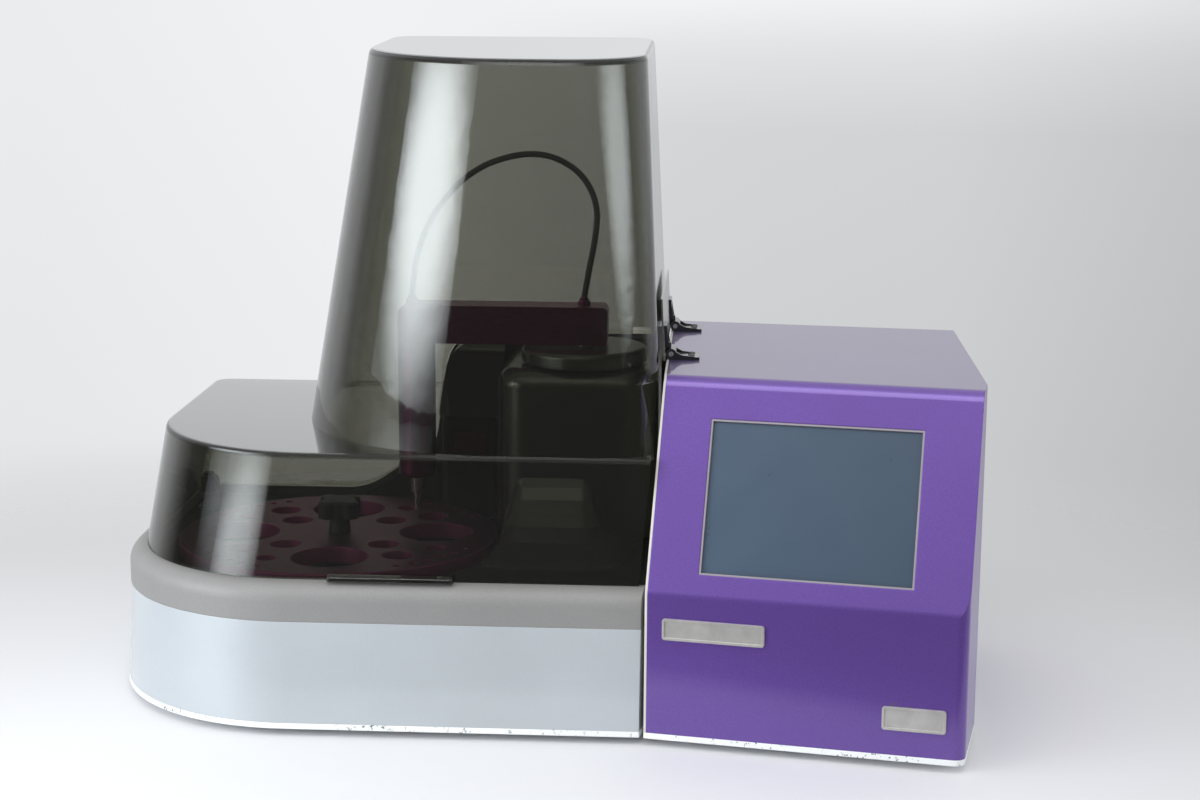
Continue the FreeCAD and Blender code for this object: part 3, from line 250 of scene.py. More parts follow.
def purple_lacquer(colour, flake):
    """Purple lacquer, painted grey on level faces as a painted reflection, and worn in a small patch above
    the small plate.
    """
    recipe = lacquer("purple_lacquer", colour, flake, 0.38, 0.55, 0.55)
    recipe.set(Coat_IOR=1.7)
    base = recipe.shader.inputs["Base Color"].links[0].from_socket
    low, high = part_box("small_plate")
    rubbed = recipe.noise(0.006, 4.0, 0.65)
    place = recipe.parts(recipe.place)
    # Each band is a side of the worn patch: above the plate, its foot, both ends, and the front.
    zone = recipe.band(place["Z"], high.z - 0.002, high.z + 0.010, 1.0, 0.0)
    for axis, start, end, at_start in (
            ("Z", high.z - 0.004, high.z - 0.002, 0.0),
            ("X", low.x - 0.002, low.x + 0.006, 0.0),
            ("X", high.x - 0.016, high.x - 0.006, 1.0),
            ("Y", high.y, high.y + 0.004, 1.0)):
        side = recipe.band(place[axis], start, end, at_start, 1.0 - at_start)
        zone = recipe.maths("MULTIPLY", zone, side)
    worn = recipe.band(recipe.maths("ADD", rubbed, recipe.maths("MULTIPLY", zone, 0.30)), 0.78, 0.82)
    worn = recipe.maths("MULTIPLY", worn, recipe.maths("GREATER_THAN", zone, 0.02))
    # The dust mask here is a painted reflection: level faces are blended towards grey, standing in for the
    # pale backdrop mirrored in them.
    dust = recipe.band(recipe.normal()["Z"], 0.97, 0.995, 0.0, 0.55)
    base = recipe.blend(dust, base, (0.12, 0.12, 0.12))
    recipe.paint(recipe.blend(worn, base, (0.16, 0.13, 0.15)))
    recipe.shine(recipe.band(worn, 0.0, 1.0, 0.38, 0.8))
    return recipe.material


def band_lacquer(colour, rise_colour):
    """Warm satin lacquer; a cream strip runs along the rise at the rear, above a painted shade on the
    rise's lower face.
    """
    recipe = lacquer("band_lacquer", colour, 0.10, 0.58, 0.15, 0.05)
    base = recipe.shader.inputs["Base Color"].links[0].from_socket
    place = recipe.parts(recipe.place)
    rear_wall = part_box("deck_liner")[1].y
    behind = recipe.maths("GREATER_THAN", place["Y"], rear_wall - 0.0003)
    above = recipe.maths("GREATER_THAN", place["Z"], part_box("lid_sensor_bracket")[0].z)
    rise = recipe.maths("MULTIPLY", behind, above)
    front = recipe.maths("LESS_THAN", place["Y"], rear_wall + 0.0006)
    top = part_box("base_band")[1].z
    below = recipe.maths("LESS_THAN", place["Z"], top - STRIP_FOOT_DEPTH)
    strip = recipe.maths("LESS_THAN", place["Z"], top - STRIP_TOP_DEPTH)
    lower = recipe.maths("MULTIPLY", front, below)
    plain = recipe.maths("MULTIPLY", front, recipe.maths("SUBTRACT", 1.0, strip))
    # Under the cream strip the rise's face is painted near black, as painted shade.
    painted = recipe.blend(lower, rise_colour, (0.05, 0.05, 0.045))
    recipe.paint(recipe.blend(rise, base, recipe.blend(plain, painted, base)))
    return recipe.material


def tray_coat(colour):
    """White powder coat, chipped to bare dark specks along the edge."""
    recipe = Recipe("tray_coat", colour, 0.45)
    recipe.soft_edges(0.0008)
    chips = recipe.band(recipe.noise(0.0035, 5.0, 0.7), 0.585, 0.61)
    lots = recipe.band(recipe.noise(0.05, 2.0), 0.38, 0.60)
    chips = recipe.maths("MULTIPLY", chips, lots)
    recipe.paint(recipe.blend(chips, recipe.colour, (0.10, 0.13, 0.13)))
    recipe.shine(recipe.band(chips, 0.0, 1.0, 0.42, 0.75))
    recipe.bump(chips, -0.0001, 0.6)
    recipe.bump(recipe.noise(0.0012, 2.0), 0.00004, 0.4)
    return recipe.material


def moulded(name, colour, roughness, grain=0.0006, depth=0.00004, coat=0.0, edge=0.0008):
    """Moulded plastic with a fine spark-eroded grain and faint handling marks."""
    recipe = Recipe(name, colour, roughness)
    recipe.set(Coat_Weight=coat, Coat_Roughness=0.15)
    recipe.soft_edges(edge)
    marks = recipe.noise(0.03, 5.0, 0.6)
    recipe.shine(recipe.band(marks, 0.3, 0.7, roughness - 0.05, roughness + 0.08))
    recipe.paint(recipe.blend(recipe.band(marks, 0.35, 0.75, 0.0, 0.6), recipe.colour,
                              tuple(min(1.0, c * 1.18 + 0.002) for c in colour)))
    recipe.bump(recipe.noise(grain, 2.0), depth, 0.5)
    return recipe.material


def satin_moulding(name, colour):
    """Dark mica-filled plastic with long soft highlights."""
    recipe = Recipe(name, colour, 0.38, 0.6, 1.7)
    recipe.soft_edges(0.0010)
    drift = recipe.noise(0.05, 4.0, 0.6)
    recipe.shine(recipe.band(drift, 0.3, 0.7, 0.20, 0.25))
    recipe.paint(recipe.blend(recipe.band(recipe.cells(0.0006), 0.0, 1.0, 0.0, 0.2), recipe.colour,
                              tuple(c * 1.3 for c in colour)))
    recipe.bump(recipe.noise(0.0009, 2.0), 0.00001, 0.2)
    return recipe.material


def smoked_acrylic(name, tint, density, edge_shade=0.0):
    """Clear tinted sheet: polished, with fine wipe marks, a little dust, and a painted shade line along
    its rounded edges.

    The faces hold back one share of the light and the sheet's inside takes the rest, so that it
    is darker where it is seen at a slant. Both faces mirror at a low angle, and the level ones
    most. The mirror layer works on top of the tint, so that it keeps its full strength however
    clear the sheet is.
    """
    recipe = Recipe(name, (0.006, 0.006, 0.005), 0.08)
    wipes = recipe.noise(0.02, 4.0, 0.6, (1.0, 1.0, 0.12))
    recipe.shine(recipe.band(wipes, 0.35, 0.8, 0.06, 0.14))
    dust = recipe.band(recipe.noise(0.0016, 3.0), 0.74, 0.78, 0.0, 0.3)
    recipe.paint(recipe.blend(dust, recipe.colour, (0.30, 0.31, 0.31)))
    recipe.bump(recipe.noise(0.11, 2.0), 0.0003, 0.2)
    geometry = recipe.add("ShaderNodeNewGeometry")
    slowing = recipe.band(geometry.outputs["Backfacing"], 0.0, 1.0, ACRYLIC_IOR, 1 / ACRYLIC_IOR)
    fresnel = recipe.add("ShaderNodeFresnel")
    recipe.join(slowing, fresnel.inputs["IOR"])
    recipe.join(recipe.height, fresnel.inputs["Normal"])
    slant = recipe.add("ShaderNodeLayerWeight", Blend=0.5).outputs["Facing"]
    slant = recipe.maths("MULTIPLY", slant, slant)
    level = recipe.maths("ABSOLUTE", recipe.normal()["Z"])
    flat = recipe.band(level, 0.90, 0.97, 0.45, 1.75)
    share = recipe.maths("MULTIPLY", slant, recipe.maths("SUBTRACT", flat, 1.0))
    share = recipe.maths("MULTIPLY", fresnel.outputs["Fac"], recipe.maths("ADD", share, 1.0))
    cover = recipe.band(slant, 0.0, 1.0, density, density + 0.75)
    # Along the rounded edges the sheet is painted dark as a painted shade line, and it mirrors less there.
    if edge_shade > 0:
        rise = recipe.band(level, 0.25, 0.40)
        fall = recipe.band(level, 0.90, 0.97, 1.0, 0.0)
        line = recipe.maths("MULTIPLY", rise, fall)
        cover = recipe.maths("MAXIMUM", cover, recipe.band(line, 0.0, 1.0, 0.0, edge_shade))
        share = recipe.maths("MULTIPLY", share, recipe.band(line, 0.0, 1.0, 1.0, 0.35))
    recipe.join(cover, recipe.shader.inputs["Alpha"])
    mirror = recipe.add("ShaderNodeBsdfGlossy", Roughness=ACRYLIC_POLISH)
    recipe.join(recipe.height, mirror.inputs["Normal"])
    layer = recipe.add("ShaderNodeMixShader")
    recipe.join(share, layer.inputs["Fac"])
    recipe.join(recipe.shader.outputs["BSDF"], layer.inputs[1])
    recipe.join(mirror.outputs["BSDF"], layer.inputs[2])
    output = recipe.nodes["Material Output"]
    recipe.join(layer.outputs["Shader"], output.inputs["Surface"])
    inside = recipe.add("ShaderNodeVolumeAbsorption", Color=(*tint, 1.0), Density=ACRYLIC_ABSORPTION)
    recipe.join(inside.outputs["Volume"], output.inputs["Volume"])
    recipe.material.surface_render_method = "BLENDED"
    return recipe.material


def anodised(name, colour, roughness, centre=None):
    """Dyed anodised aluminium. With a centre it has the fine rings of facing on a lathe, and its steep
    faces get painted light.
    """
    recipe = Recipe(name, colour, roughness, 0.85)
    recipe.soft_edges(0.0005)
    if centre is None:
        lines = recipe.noise(0.0007, 3.0, 0.6, (0.06, 1.0, 1.0))
    else:
        shift = recipe.add("ShaderNodeVectorMath", operation="SUBTRACT")
        recipe.join(recipe.place, shift.inputs[0])
        shift.inputs[1].default_value = centre
        flat = recipe.add("ShaderNodeVectorMath", operation="MULTIPLY")
        recipe.join(shift.outputs["Vector"], flat.inputs[0])
        flat.inputs[1].default_value = (1, 1, 0)
        length = recipe.add("ShaderNodeVectorMath", operation="LENGTH")
        recipe.join(flat.outputs["Vector"], length.inputs[0])
        rings = recipe.add("ShaderNodeTexNoise", noise_dimensions="1D", Scale=1.0, Detail=3.0)
        recipe.join(recipe.maths("MULTIPLY", length.outputs["Value"], FACING_RINGS), rings.inputs["W"])
        lines = rings.outputs["Fac"]
    recipe.shine(recipe.band(lines, 0.2, 0.8, roughness - 0.07, roughness + 0.10))
    tone = recipe.band(recipe.noise(0.02, 4.0), 0.3, 0.7, 0.0, 0.5)
    dye_and_light = recipe.blend(tone, recipe.colour, tuple(c * 1.25 for c in colour))
    if centre is not None:
        # Painted light: steep faces, such as the sides of the holes, are made 3.4 times as bright.
        lit_walls = recipe.band(recipe.maths("ABSOLUTE", recipe.normal()["Z"]), 0.5, 0.9, 1.0, 0.0)
        dye_and_light = recipe.blend(lit_walls, dye_and_light, tuple(c * 3.4 for c in colour))
    recipe.paint(dye_and_light)
    recipe.bump(lines, 0.00003, 0.4)
    return recipe.material


def ground_metal(name, colour, roughness, stretch=(0.05, 1.0, 1.0)):
    """Bare metal with fine grinding lines."""
    recipe = Recipe(name, colour, roughness, 1.0)
    recipe.soft_edges(0.0003)
    lines = recipe.noise(0.0005, 4.0, 0.6, stretch)
    recipe.shine(recipe.band(lines, 0.25, 0.75, roughness - 0.08, roughness + 0.12))
    stain = recipe.band(recipe.noise(0.025, 4.0), 0.4, 0.75, 0.0, 0.45)
    recipe.paint(recipe.blend(stain, recipe.colour, tuple(c * 0.82 for c in colour)))
    recipe.bump(lines, 0.00002, 0.4)
    return recipe.material


def cast_pewter(colour):
    """Cast plate with a grained field, random tarnish and softened rims."""
    recipe = Recipe("cast_pewter", colour, 0.42, 0.75)
    recipe.soft_edges(0.0006)
    pits = recipe.noise(0.0009, 5.0, 0.7)
    tarnish = recipe.band(recipe.noise(0.012, 4.0), 0.35, 0.7, 0.0, 0.7)
    recipe.paint(recipe.blend(tarnish, recipe.colour, tuple(c * 0.78 for c in colour)))
    recipe.shine(recipe.band(pits, 0.3, 0.7, 0.34, 0.56))
    recipe.bump(pits, 0.00012, 0.6)
    return recipe.material


def rubber(name, colour, ribs=0.0):
    """Dusty black rubber. With ribs it has teeth across it at that spacing."""
    recipe = Recipe(name, colour, 0.6)
    recipe.soft_edges(0.0006)
    dust = recipe.band(recipe.noise(0.004, 5.0), 0.5, 0.75, 0.0, 0.4)
    recipe.paint(recipe.blend(dust, recipe.colour, tuple(c + 0.05 for c in colour)))
    recipe.shine(recipe.band(dust, 0.0, 0.4, 0.5, 0.75))
    if ribs > 0:
        along = recipe.parts(recipe.place)["Y"]
        wave = recipe.maths("SINE", recipe.maths("MULTIPLY", along, 2 * math.pi / ribs))
        recipe.bump(wave, 0.0006, 0.5)
    recipe.bump(recipe.noise(0.0012, 3.0), 0.00005, 0.5)
    return recipe.material


def screen_film(colour):
    """Switched-off display behind a matt touch film, with faint finger haze, and painted light that makes
    it lighter towards its left side.
    """
    recipe = Recipe("screen_film", colour, 0.30)
    recipe.set(Coat_Weight=0.35, Coat_Roughness=0.18)
    haze = recipe.noise(0.05, 5.0, 0.65)
    recipe.shine(recipe.band(haze, 0.3, 0.75, 0.26, 0.42))
    low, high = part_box("touch_screen")
    # Painted light: the colour grows lighter towards the left side, broken up by the haze.
    across = recipe.band(recipe.parts(recipe.place)["X"], low.x, high.x, 0.55, 0.0)
    soft = recipe.maths("MULTIPLY", across, recipe.band(haze, 0.2, 0.8, 0.8, 1.1))
    recipe.paint(recipe.blend(soft, recipe.colour, tuple(c * 1.42 for c in colour)))
    recipe.bump(recipe.noise(0.0003, 2.0), 0.00001, 0.4)
    return recipe.material


def circuit_board(colour):
    """Green board with a plain grid of raised tracks."""
    recipe = Recipe("circuit_board", colour, 0.35)
    tracks = recipe.add("ShaderNodeTexBrick", Scale=60.0)
    recipe.join(recipe.place, tracks.inputs["Vector"])
    copper = recipe.band(tracks.outputs["Fac"], 0.0, 1.0, 0.0, 0.6)
    recipe.paint(recipe.blend(copper, recipe.colour, (0.30, 0.33, 0.12)))
    recipe.bump(tracks.outputs["Fac"], 0.0001, 0.4)
    return recipe.material


# Helpers for pieces

def dress(slots, made):
    """Gives the CAD nodes of these material slots their finish."""
    for node, slot in SLOT_OF.items():
        if slot in slots:
            mesh = frame["nodes"][node].data
            mesh.materials.clear()
            mesh.materials.append(made)


def new_piece(name, mesh, material, body):
    """Puts a mesh or curve into the scene, on a body that carries it."""
    piece = bpy.data.objects.new(name, mesh)
    bpy.context.scene.collection.objects.link(piece)
    mesh.materials.append(material)
    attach(piece, body)
    return piece


def middle(node):
    """Middle of a CAD node's box."""
    low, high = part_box(node)
    return (low + high) / 2


# What a user may change

def colour_choice(name, description, default):
    """A colour that the panel shows."""
    return bpy.props.FloatVectorProperty(
        name=name, description=description, subtype="COLOR", size=3,
        min=0.0, max=1.0, default=default)


class ConsoleLook(bpy.types.PropertyGroup):
    purple: colour_choice("Purple", "Colour of the console's lacquer", (0.150, 0.072, 0.36))
    flake: bpy.props.FloatProperty(
        name="Flake", description="How much the lacquer's flakes differ in brightness",
        default=0.16, min=0.0, max=0.6, subtype="FACTOR")
    screen: colour_choice("Screen", "Colour of the switched-off display", (0.040, 0.069, 0.108))
    edging: colour_choice("Edging", "Colour of the frame round the display", (0.30, 0.27, 0.30))
    plates: colour_choice("Plates", "Colour of the two cast plates", (0.66, 0.64, 0.61))


class BaseLook(bpy.types.PropertyGroup):
    silver: colour_choice("Housing", "Colour of the lower housing", (0.50, 0.535, 0.56))
    band: colour_choice("Band", "Colour of the upper band", (0.27, 0.265, 0.258))
    rise: colour_choice("Rise", "Colour of the cream rise at the rear", (0.92, 0.91, 0.84))
    tray: colour_choice("Tray", "Colour of the tray's powder coat", (0.93, 0.95, 0.95))


class LidLook(bpy.types.PropertyGroup):
    smoke: colour_choice("Smoke", "Tint inside the sheet", (0.34, 0.36, 0.12))
    density: bpy.props.FloatProperty(
        name="Density", description="Share of the light that each face of the sheet holds back",
        default=0.27, min=0.05, max=0.95, subtype="FACTOR")


class InsideLook(bpy.types.PropertyGroup):
    carousel: colour_choice("Carousel", "Dye of the anodised carousel plate", (0.165, 0.036, 0.095))
    arm: colour_choice("Arm", "Dye of the anodised arm", (0.16, 0.018, 0.085))
    black: colour_choice("Black", "Colour of the deck", (0.020, 0.020, 0.019))
    tower: colour_choice("Tower", "Colour of the satin tower", (0.085, 0.085, 0.073))
    tube: bpy.props.FloatProperty(
        name="Tube", description="Diameter of the arm's tube",
        default=0.0055, min=0.003, max=0.008, unit="LENGTH", precision=4)


class StageLook(bpy.types.PropertyGroup):
    floor: colour_choice("Floor", "Colour of the floor", (0.82, 0.82, 0.835))
    light: bpy.props.FloatProperty(
        name="Light", description="Strength of the studio lamps together",
        default=1.0, min=0.1, max=3.0, subtype="FACTOR")


# Operators

class SEPARATOR_OT_console(bpy.types.Operator):
    """Finish the console, its screen, its frame and its two plates"""
    bl_idname = "separator.console"
    bl_label = "Console"

    def execute(self, context):
        look = context.scene.console_look
        dress({"console_purple"}, purple_lacquer(tuple(look.purple), look.flake))
        dress({"screen_glass"}, screen_film(tuple(look.screen)))
        dress({"frame_cream"}, moulded("frame_edging", tuple(look.edging), 0.45, edge=0.0002))
        dress({"side_cream"}, moulded("side_sheet", (0.62, 0.60, 0.55), 0.5, 0.001))
        dress({"pewter"}, cast_pewter(tuple(look.plates)))
        return {"FINISHED"}


class SEPARATOR_OT_base(bpy.types.Operator):
    """Finish the lower housing, the band, the tray and the feet"""
    bl_idname = "separator.base"
    bl_label = "Base"

    def execute(self, context):
        look = context.scene.base_look
        dress({"housing_silver"}, lacquer("silver_lacquer", tuple(look.silver), 0.04, 0.40, 0.15).material)
        dress({"band_champagne"}, band_lacquer(tuple(look.band), tuple(look.rise)))
        dress({"tray_white"}, tray_coat(tuple(look.tray)))
        dress({"foot_rubber"}, rubber("foot_rubber", (0.02, 0.02, 0.02)))
        return {"FINISHED"}


class SEPARATOR_OT_inside(bpy.types.Operator):
    """Finish the deck, the tower, the carousel and the arm"""
    bl_idname = "separator.inside"
    bl_label = "Inside"

    def execute(self, context):
        look = context.scene.inside_look
        black = tuple(look.black)
        dress({"deck_black"}, moulded("deck_sheet", black, 0.42, 0.0012, 0.00008))
        dress({"tower_black"}, satin_moulding("tower_moulding", tuple(look.tower)))
        centre = middle("carousel_plate")
        dress({"plate_magenta"}, anodised("carousel_dye_and_light", tuple(look.carousel), 0.34, centre))
        dress({"arm_magenta", "gland_magenta"}, anodised("arm_dye", tuple(look.arm), 0.30))
        dress({"knob_black", "black_plastic"}, moulded("black_moulding", (0.018, 0.018, 0.018), 0.38))
        dress({"window_red"}, moulded("scanner_glass", (0.06, 0.004, 0.004), 0.12, 0.01, 0.00001, 1.0))
        return {"FINISHED"}


class SEPARATOR_OT_metals(bpy.types.Operator):
    """Finish the bare metal, painted metal, board and belt"""
    bl_idname = "separator.metals"
    bl_label = "Metal and works"

    def execute(self, context):
        dress({"steel"}, ground_metal("ground_steel", (0.60, 0.60, 0.60), 0.28, (1.0, 1.0, 0.06)))
        dress({"alloy"}, ground_metal("machined_alloy", (0.62, 0.63, 0.64), 0.36))
        dress({"bearing_bronze"}, ground_metal("bearing_bronze", (0.55, 0.36, 0.18), 0.40))
        dress({"motor_black"}, moulded("motor_paint", (0.03, 0.03, 0.032), 0.45, 0.001))
        dress({"hinge_black"}, moulded("hinge_paint", (0.016, 0.016, 0.018), 0.28,
                                       0.001, 0.00006, coat=0.5, edge=0.0004))
        dress({"panel_grey"}, moulded("panel_paint", (0.42, 0.42, 0.42), 0.5, 0.0012))
        dress({"board_green"}, circuit_board((0.02, 0.12, 0.05)))
        dress({"belt_rubber"}, rubber("belt_rubber", (0.02, 0.02, 0.02), 0.002))
        return {"FINISHED"}


class SEPARATOR_OT_lid(bpy.types.Operator):
    """Finish the smoked lid and its lip handle"""
    bl_idname = "separator.lid"
    bl_label = "Lid"

    def execute(self, context):
        look = context.scene.lid_look
        dress({"smoked_clear"}, smoked_acrylic("smoked_acrylic", tuple(look.smoke), look.density, 0.8))
        dress({"clear_bar"}, smoked_acrylic("handle_acrylic", tuple(look.smoke), 0.45))
        return {"FINISHED"}


# Route of the arm's tube, from the beam's tail to the leg: across and up from the arm's axis.
TUBE_ROUTE = [
    (-0.0005, 0.0), (0.0035, 0.0245), (0.0095, 0.054), (0.0115, 0.0825), (-0.001, 0.1095),
    (-0.0245, 0.125), (-0.047, 0.129), (-0.070, 0.1255), (-0.095, 0.116), (-0.118, 0.098),
    (-0.137, 0.073), (-0.149, 0.0465), (-0.1545, 0.023), (-0.1565, 0.0),
]


class SEPARATOR_OT_tube(bpy.types.Operator):
    """Make the black tube that arches over the arm"""
    bl_idname = "separator.tube"
    bl_label = "Arm tube"

    def execute(self, context):
        look = context.scene.inside_look
        axis = middle("turret_cap")
        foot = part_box("arm_tube")[0].z
        curve = bpy.data.curves.new("arm_tube_line", "CURVE")
        curve.dimensions = "3D"
        curve.resolution_u = 16
        curve.bevel_depth = look.tube / 2
        curve.bevel_resolution = 6
        curve.use_fill_caps = True
        spline = curve.splines.new("NURBS")
        spline.points.add(len(TUBE_ROUTE) - 1)
        for point, (across, up) in zip(spline.points, TUBE_ROUTE):
            point.co = (axis.x + across, axis.y, foot + up, 1.0)
        spline.order_u = 3
        spline.use_endpoint_u = True
        skin = rubber("tube_rubber", (0.012, 0.012, 0.013))
        piece = new_piece("tube_arch", curve, skin, "arm")
        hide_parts("arm_tube")
        return {"FINISHED"}


def socket_head(bm, place, radius, height, socket):
    """Button head with a hexagon socket, standing on a plane."""
    steps = 24
    angles = [2 * math.pi * step / steps for step in range(steps)]
    socket_floor = 0.35 * height

    def ring_of(reaches, level):
        ring = []
        for angle, reach in zip(angles, reaches):
            offset = Vector((reach * math.cos(angle), reach * math.sin(angle), level))
            ring.append(bm.verts.new(place + offset))
        return ring

    profile = [(radius, 0.0), (radius, 0.35 * height), (0.93 * radius, 0.72 * height),
               (0.74 * radius, 0.95 * height), (1.28 * socket, height)]
    rings = [ring_of([reach] * steps, level) for reach, level in profile]
    hexagon = [socket * math.cos(math.pi / 6) / math.cos(angle % (math.pi / 3) - math.pi / 6)
               for angle in angles]
    rings += [ring_of(hexagon, level) for level in (height, socket_floor)]
    for low, high in zip(rings, rings[1:]):
        for step in range(steps):
            after = (step + 1) % steps
            bm.faces.new((low[step], low[after], high[after], high[step]))
    bm.faces.new(rings[-1])
    bm.faces.new(list(reversed(rings[0])))


class SEPARATOR_OT_screws(bpy.types.Operator):
    """Make the socket-head screws of the hinge leaves"""
    bl_idname = "separator.screws"
    bl_label = "Hinge screws"

    def execute(self, context):
        low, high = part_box("hinge_screws")
        radius = (high.x - low.x) / 2
        seat = high.z - SCREW_HEAD
        x = (low.x + high.x) / 2
        first = low.y + radius
        last = high.y - radius
        bm = bmesh.new()
        for y in (first, first + SCREW_PITCH, last - SCREW_PITCH, last):
            socket_head(bm, Vector((x, y, seat)), radius, high.z - seat, SCREW_SOCKET)
        bmesh.ops.recalc_face_normals(bm, faces=bm.faces)
        mesh = bpy.data.meshes.new("hinge_screw_heads")
        bm.to_mesh(mesh)
        bm.free()
        steel = ground_metal("blackened_steel", (0.10, 0.10, 0.105), 0.32)
        piece = new_piece("hinge_screw_heads", mesh, steel, "base")
        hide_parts("hinge_screws")
        return {"FINISHED"}


# Stage

def softbox(name, azimuth, elevation, distance, wide, high, power, glow, tint):
    """Area lamp on a sphere round the object, turned to its middle and brightest at its own middle."""
    turn = math.radians(azimuth)
    lift = math.radians(elevation)
    offset = Vector((math.sin(turn) * math.cos(lift), -math.cos(turn) * math.cos(lift), math.sin(lift)))
    lamp = bpy.data.lights.new(name, "AREA")
    lamp.shape = "RECTANGLE"
    lamp.size = wide
    lamp.size_y = high
    lamp.energy = power
    lamp.color = tint
    lamp.use_nodes = True
    nodes = lamp.node_tree.nodes
    links = lamp.node_tree.links
    place = nodes.new("ShaderNodeNewGeometry")
    shift = nodes.new("ShaderNodeVectorMath")
    shift.operation = "DISTANCE"
    shift.inputs[1].default_value = (0.5, 0.5, 0.0)
    links.new(place.outputs["Parametric"], shift.inputs[0])
    falloff = nodes.new("ShaderNodeMapRange")
    falloff.interpolation_type = "SMOOTHSTEP"
    falloff.inputs["From Min"].default_value = LAMP_CORE
    falloff.inputs["From Max"].default_value = LAMP_RIM
    falloff.inputs["To Min"].default_value = glow
    falloff.inputs["To Max"].default_value = LAMP_RIM_GLOW
    links.new(shift.outputs["Value"], falloff.inputs["Value"])
    links.new(falloff.outputs["Result"], nodes["Emission"].inputs["Strength"])
    holder = bpy.data.objects.new(name, lamp)
    bpy.context.scene.collection.objects.link(holder)
    holder.location = LAMP_TARGET + offset * distance
    holder.rotation_euler = (-offset).to_track_quat("-Z", "Y").to_euler()
    holder.visible_camera = False


def studio_world():
    """Bright paper backdrop behind the object, brighter on its left, and a dim room in front of it."""
    world = bpy.data.worlds.new("studio")
    world.use_nodes = True
    bpy.context.scene.world = world
    nodes = world.node_tree.nodes
    links = world.node_tree.links
    nodes.clear()
    coordinates = nodes.new("ShaderNodeTexCoord")
    split = nodes.new("ShaderNodeSeparateXYZ")
    links.new(coordinates.outputs["Generated"], split.inputs[0])

    def ramp(socket, stops):
        """Grey tones at places from -1 to 1 along one axis."""
        node = nodes.new("ShaderNodeValToRGB")
        span = nodes.new("ShaderNodeMapRange")
        span.inputs["From Min"].default_value = -1.0
        links.new(split.outputs[socket], span.inputs["Value"])
        links.new(span.outputs["Result"], node.inputs["Fac"])
        elements = node.color_ramp.elements
        while len(elements) < len(stops):
            elements.new(1.0)
        for element, (place, shade) in zip(elements, stops):
            element.position = (place + 1) / 2
            element.color = (shade, shade, shade, 1.0)
        return node.outputs["Color"]

    def blend(mode, amount, first, second):
        """Mix of two colours or colour sockets."""
        node = nodes.new("ShaderNodeMix")
        node.data_type = "RGBA"
        node.blend_type = mode
        sockets = (node.inputs["Factor"], node.inputs[6], node.inputs[7])
        for socket, value in zip(sockets, (amount, first, second)):
            if hasattr(value, "is_linked"):
                links.new(value, socket)
            else:
                socket.default_value = value
        return node.outputs[2]

    left = ramp("Z", [(-0.30, 0.80), (-0.265, 0.74), (-0.25, 0.70), (-0.20, 0.80), (-0.02, 0.84)])
    right = ramp("Z", [(-0.30, 0.64), (-0.25, 0.60), (-0.07, 0.66), (-0.035, 0.76), (-0.01, 0.90)])
    across = ramp("X", [(-0.30, 1.0), (-0.16, 1.06), (0.02, 1.0), (0.10, 0.98), (0.21, 0.84)])
    paper = blend("MIX", ramp("X", [(-0.12, 0.0), (-0.03, 1.0)]), left, right)
    paper = blend("MULTIPLY", 1.0, paper, across)
    paper = blend("MULTIPLY", 1.0, paper, (0.99, 1.0, 1.02, 1.0))
    room = ramp("Z", [(-0.6, 0.06), (0.08, 0.09), (0.25, 0.24), (0.6, 0.6), (0.95, 0.9)])
    around = blend("MIX", ramp("Y", [(0.15, 0.0), (0.55, 1.0)]), room, paper)
    path = nodes.new("ShaderNodeLightPath")
    direct = blend("MIX", path.outputs["Is Camera Ray"], around, paper)
    background = nodes.new("ShaderNodeBackground")
    links.new(direct, background.inputs["Color"])
    output = nodes.new("ShaderNodeOutputWorld")
    links.new(background.outputs["Background"], output.inputs["Surface"])


def floor_paper(colour):
    """Pale paper that fades into the backdrop, with painted light that makes it lighter towards the front,
    and in reflections ends a hand's width in front.
    """
    recipe = Recipe("floor_paper", colour, 0.55)
    recipe.bump(recipe.noise(0.002, 3.0), 0.00003, 0.3)
    along = recipe.parts(recipe.place)["Y"]
    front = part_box("base_housing")[0].y
    near_edge, far_edge = MIRRORED_FLOOR_EDGE
    beyond = recipe.band(along, front - near_edge, front - far_edge)
    glossy = recipe.add("ShaderNodeLightPath").outputs["Is Glossy Ray"]
    dark = recipe.maths("MULTIPLY", beyond, glossy)
    # Painted light and shade: the paper is lighter at the front and darker at the rear.
    lit_front_tone = tuple(min(0.97, c * 1.14) for c in colour)
    shaded_rear_tone = tuple(c * 0.78 for c in colour)
    paper = recipe.blend(recipe.band(along, *FLOOR_DEPTH), lit_front_tone, shaded_rear_tone)
    recipe.paint(recipe.blend(dark, paper, (0.05, 0.05, 0.055)))
    length = recipe.add("ShaderNodeVectorMath", operation="LENGTH")
    recipe.join(recipe.place, length.inputs[0])
    fade = recipe.band(length.outputs["Value"], *FLOOR_FADE)
    fade = recipe.maths("MULTIPLY", fade, recipe.band(beyond, 0.0, 1.0, 1.0, 0.0))
    clear = recipe.add("ShaderNodeBsdfTransparent")
    mix = recipe.add("ShaderNodeMixShader")
    recipe.join(fade, mix.inputs["Fac"])
    recipe.join(recipe.shader.outputs["BSDF"], mix.inputs[1])
    recipe.join(clear.outputs["BSDF"], mix.inputs[2])
    recipe.join(mix.outputs["Shader"], recipe.nodes["Material Output"].inputs["Surface"])
    return recipe.material


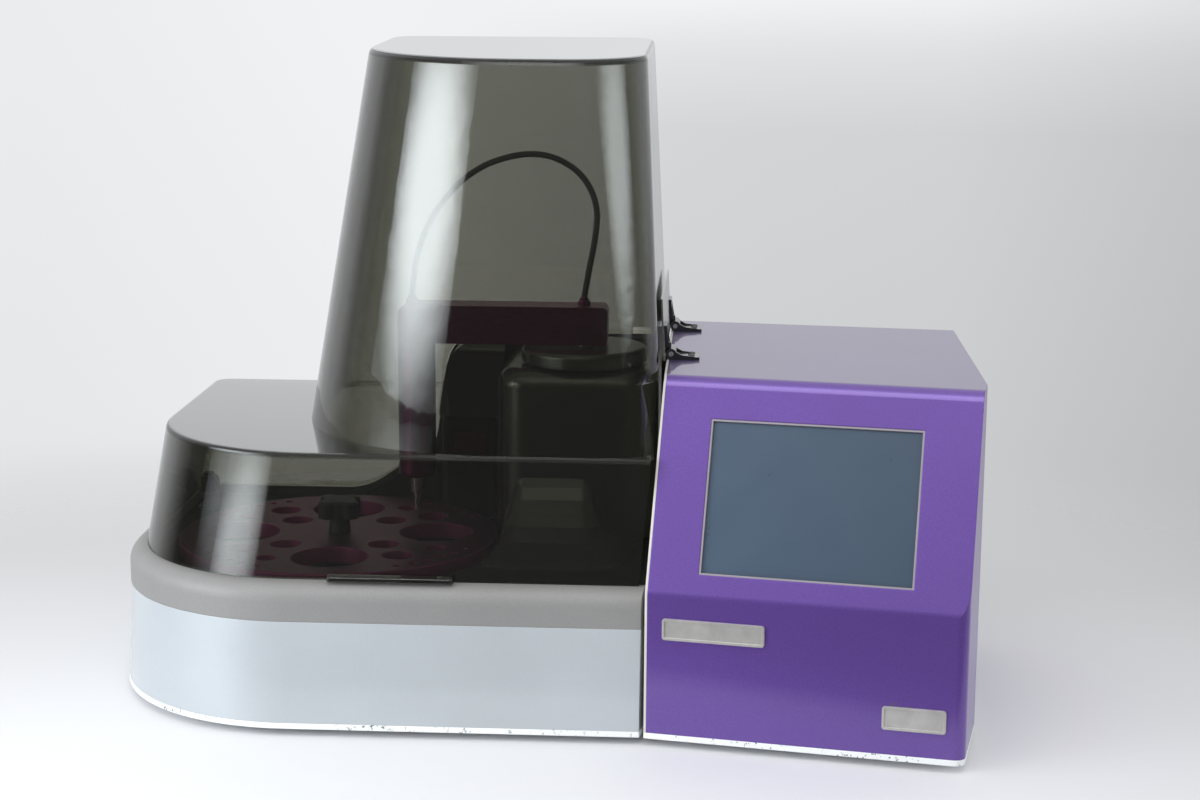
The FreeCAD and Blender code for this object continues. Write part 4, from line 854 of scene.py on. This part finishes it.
class SEPARATOR_OT_stage(bpy.types.Operator):
    """Make the floor, the light and the camera"""
    bl_idname = "separator.stage"
    bl_label = "Stage"

    def execute(self, context):
        look = context.scene.stage_look
        bm = bmesh.new()
        bmesh.ops.create_circle(bm, cap_ends=True, segments=96, radius=FLOOR_RADIUS)
        mesh = bpy.data.meshes.new("floor")
        bm.to_mesh(mesh)
        bm.free()
        mesh.materials.append(floor_paper(tuple(look.floor)))
        floor = bpy.data.objects.new("floor", mesh)
        context.scene.collection.objects.link(floor)
        studio_world()
        for name, azimuth, elevation, distance, wide, high, power, glow, tint in SOFTBOXES:
            softbox(name, azimuth, elevation, distance, wide, high, power * look.light, glow, tint)
        camera = bpy.data.cameras.new("camera")
        camera.lens = LENS
        camera.sensor_width = SENSOR_WIDTH
        holder = bpy.data.objects.new("camera", camera)
        context.scene.collection.objects.link(holder)
        turn = Matrix.Rotation(CAMERA_TURN, 4, "Z")
        tilt = Matrix.Rotation(math.pi / 2 - CAMERA_DOWN, 4, "X")
        roll = Matrix.Rotation(CAMERA_ROLL, 4, "Z")
        holder.matrix_world = Matrix.Translation(SEAM + CAMERA_FROM_SEAM) @ (turn @ tilt @ roll)
        context.scene.camera = holder
        context.scene.view_settings.view_transform = "Standard"
        return {"FINISHED"}


class SEPARATOR_PT_panel(bpy.types.Panel):
    """Colours, the tube's size and the steps of the cell separator"""
    bl_idname = "SEPARATOR_PT_panel"
    bl_label = "Cell separator"
    bl_space_type = "VIEW_3D"
    bl_region_type = "UI"
    bl_category = "Separator"

    def draw(self, context):
        for name, look in LOOKS:
            box = self.layout.box()
            for choice in look.__annotations__:
                box.prop(getattr(context.scene, name), choice)
        for step in STEPS:
            self.layout.operator(step.bl_idname)


LOOKS = [
    ("console_look", ConsoleLook),
    ("base_look", BaseLook),
    ("lid_look", LidLook),
    ("inside_look", InsideLook),
    ("stage_look", StageLook),
]
STEPS = [
    SEPARATOR_OT_stage,
    SEPARATOR_OT_tube,
    SEPARATOR_OT_console,
    SEPARATOR_OT_base,
    SEPARATOR_OT_inside,
    SEPARATOR_OT_metals,
    SEPARATOR_OT_lid,
    SEPARATOR_OT_screws,
]


def register():
    for name, look in LOOKS:
        bpy.utils.register_class(look)
        setattr(bpy.types.Scene, name, bpy.props.PointerProperty(type=look))
    for step in STEPS:
        bpy.utils.register_class(step)
    bpy.utils.register_class(SEPARATOR_PT_panel)


def unregister():
    bpy.utils.unregister_class(SEPARATOR_PT_panel)
    for step in reversed(STEPS):
        bpy.utils.unregister_class(step)
    for name, look in reversed(LOOKS):
        delattr(bpy.types.Scene, name)
        bpy.utils.unregister_class(look)


def main():
    register()
    for step in STEPS:
        group, name = step.bl_idname.split(".")
        getattr(getattr(bpy.ops, group), name)()


if __name__ == "__main__":
    main()
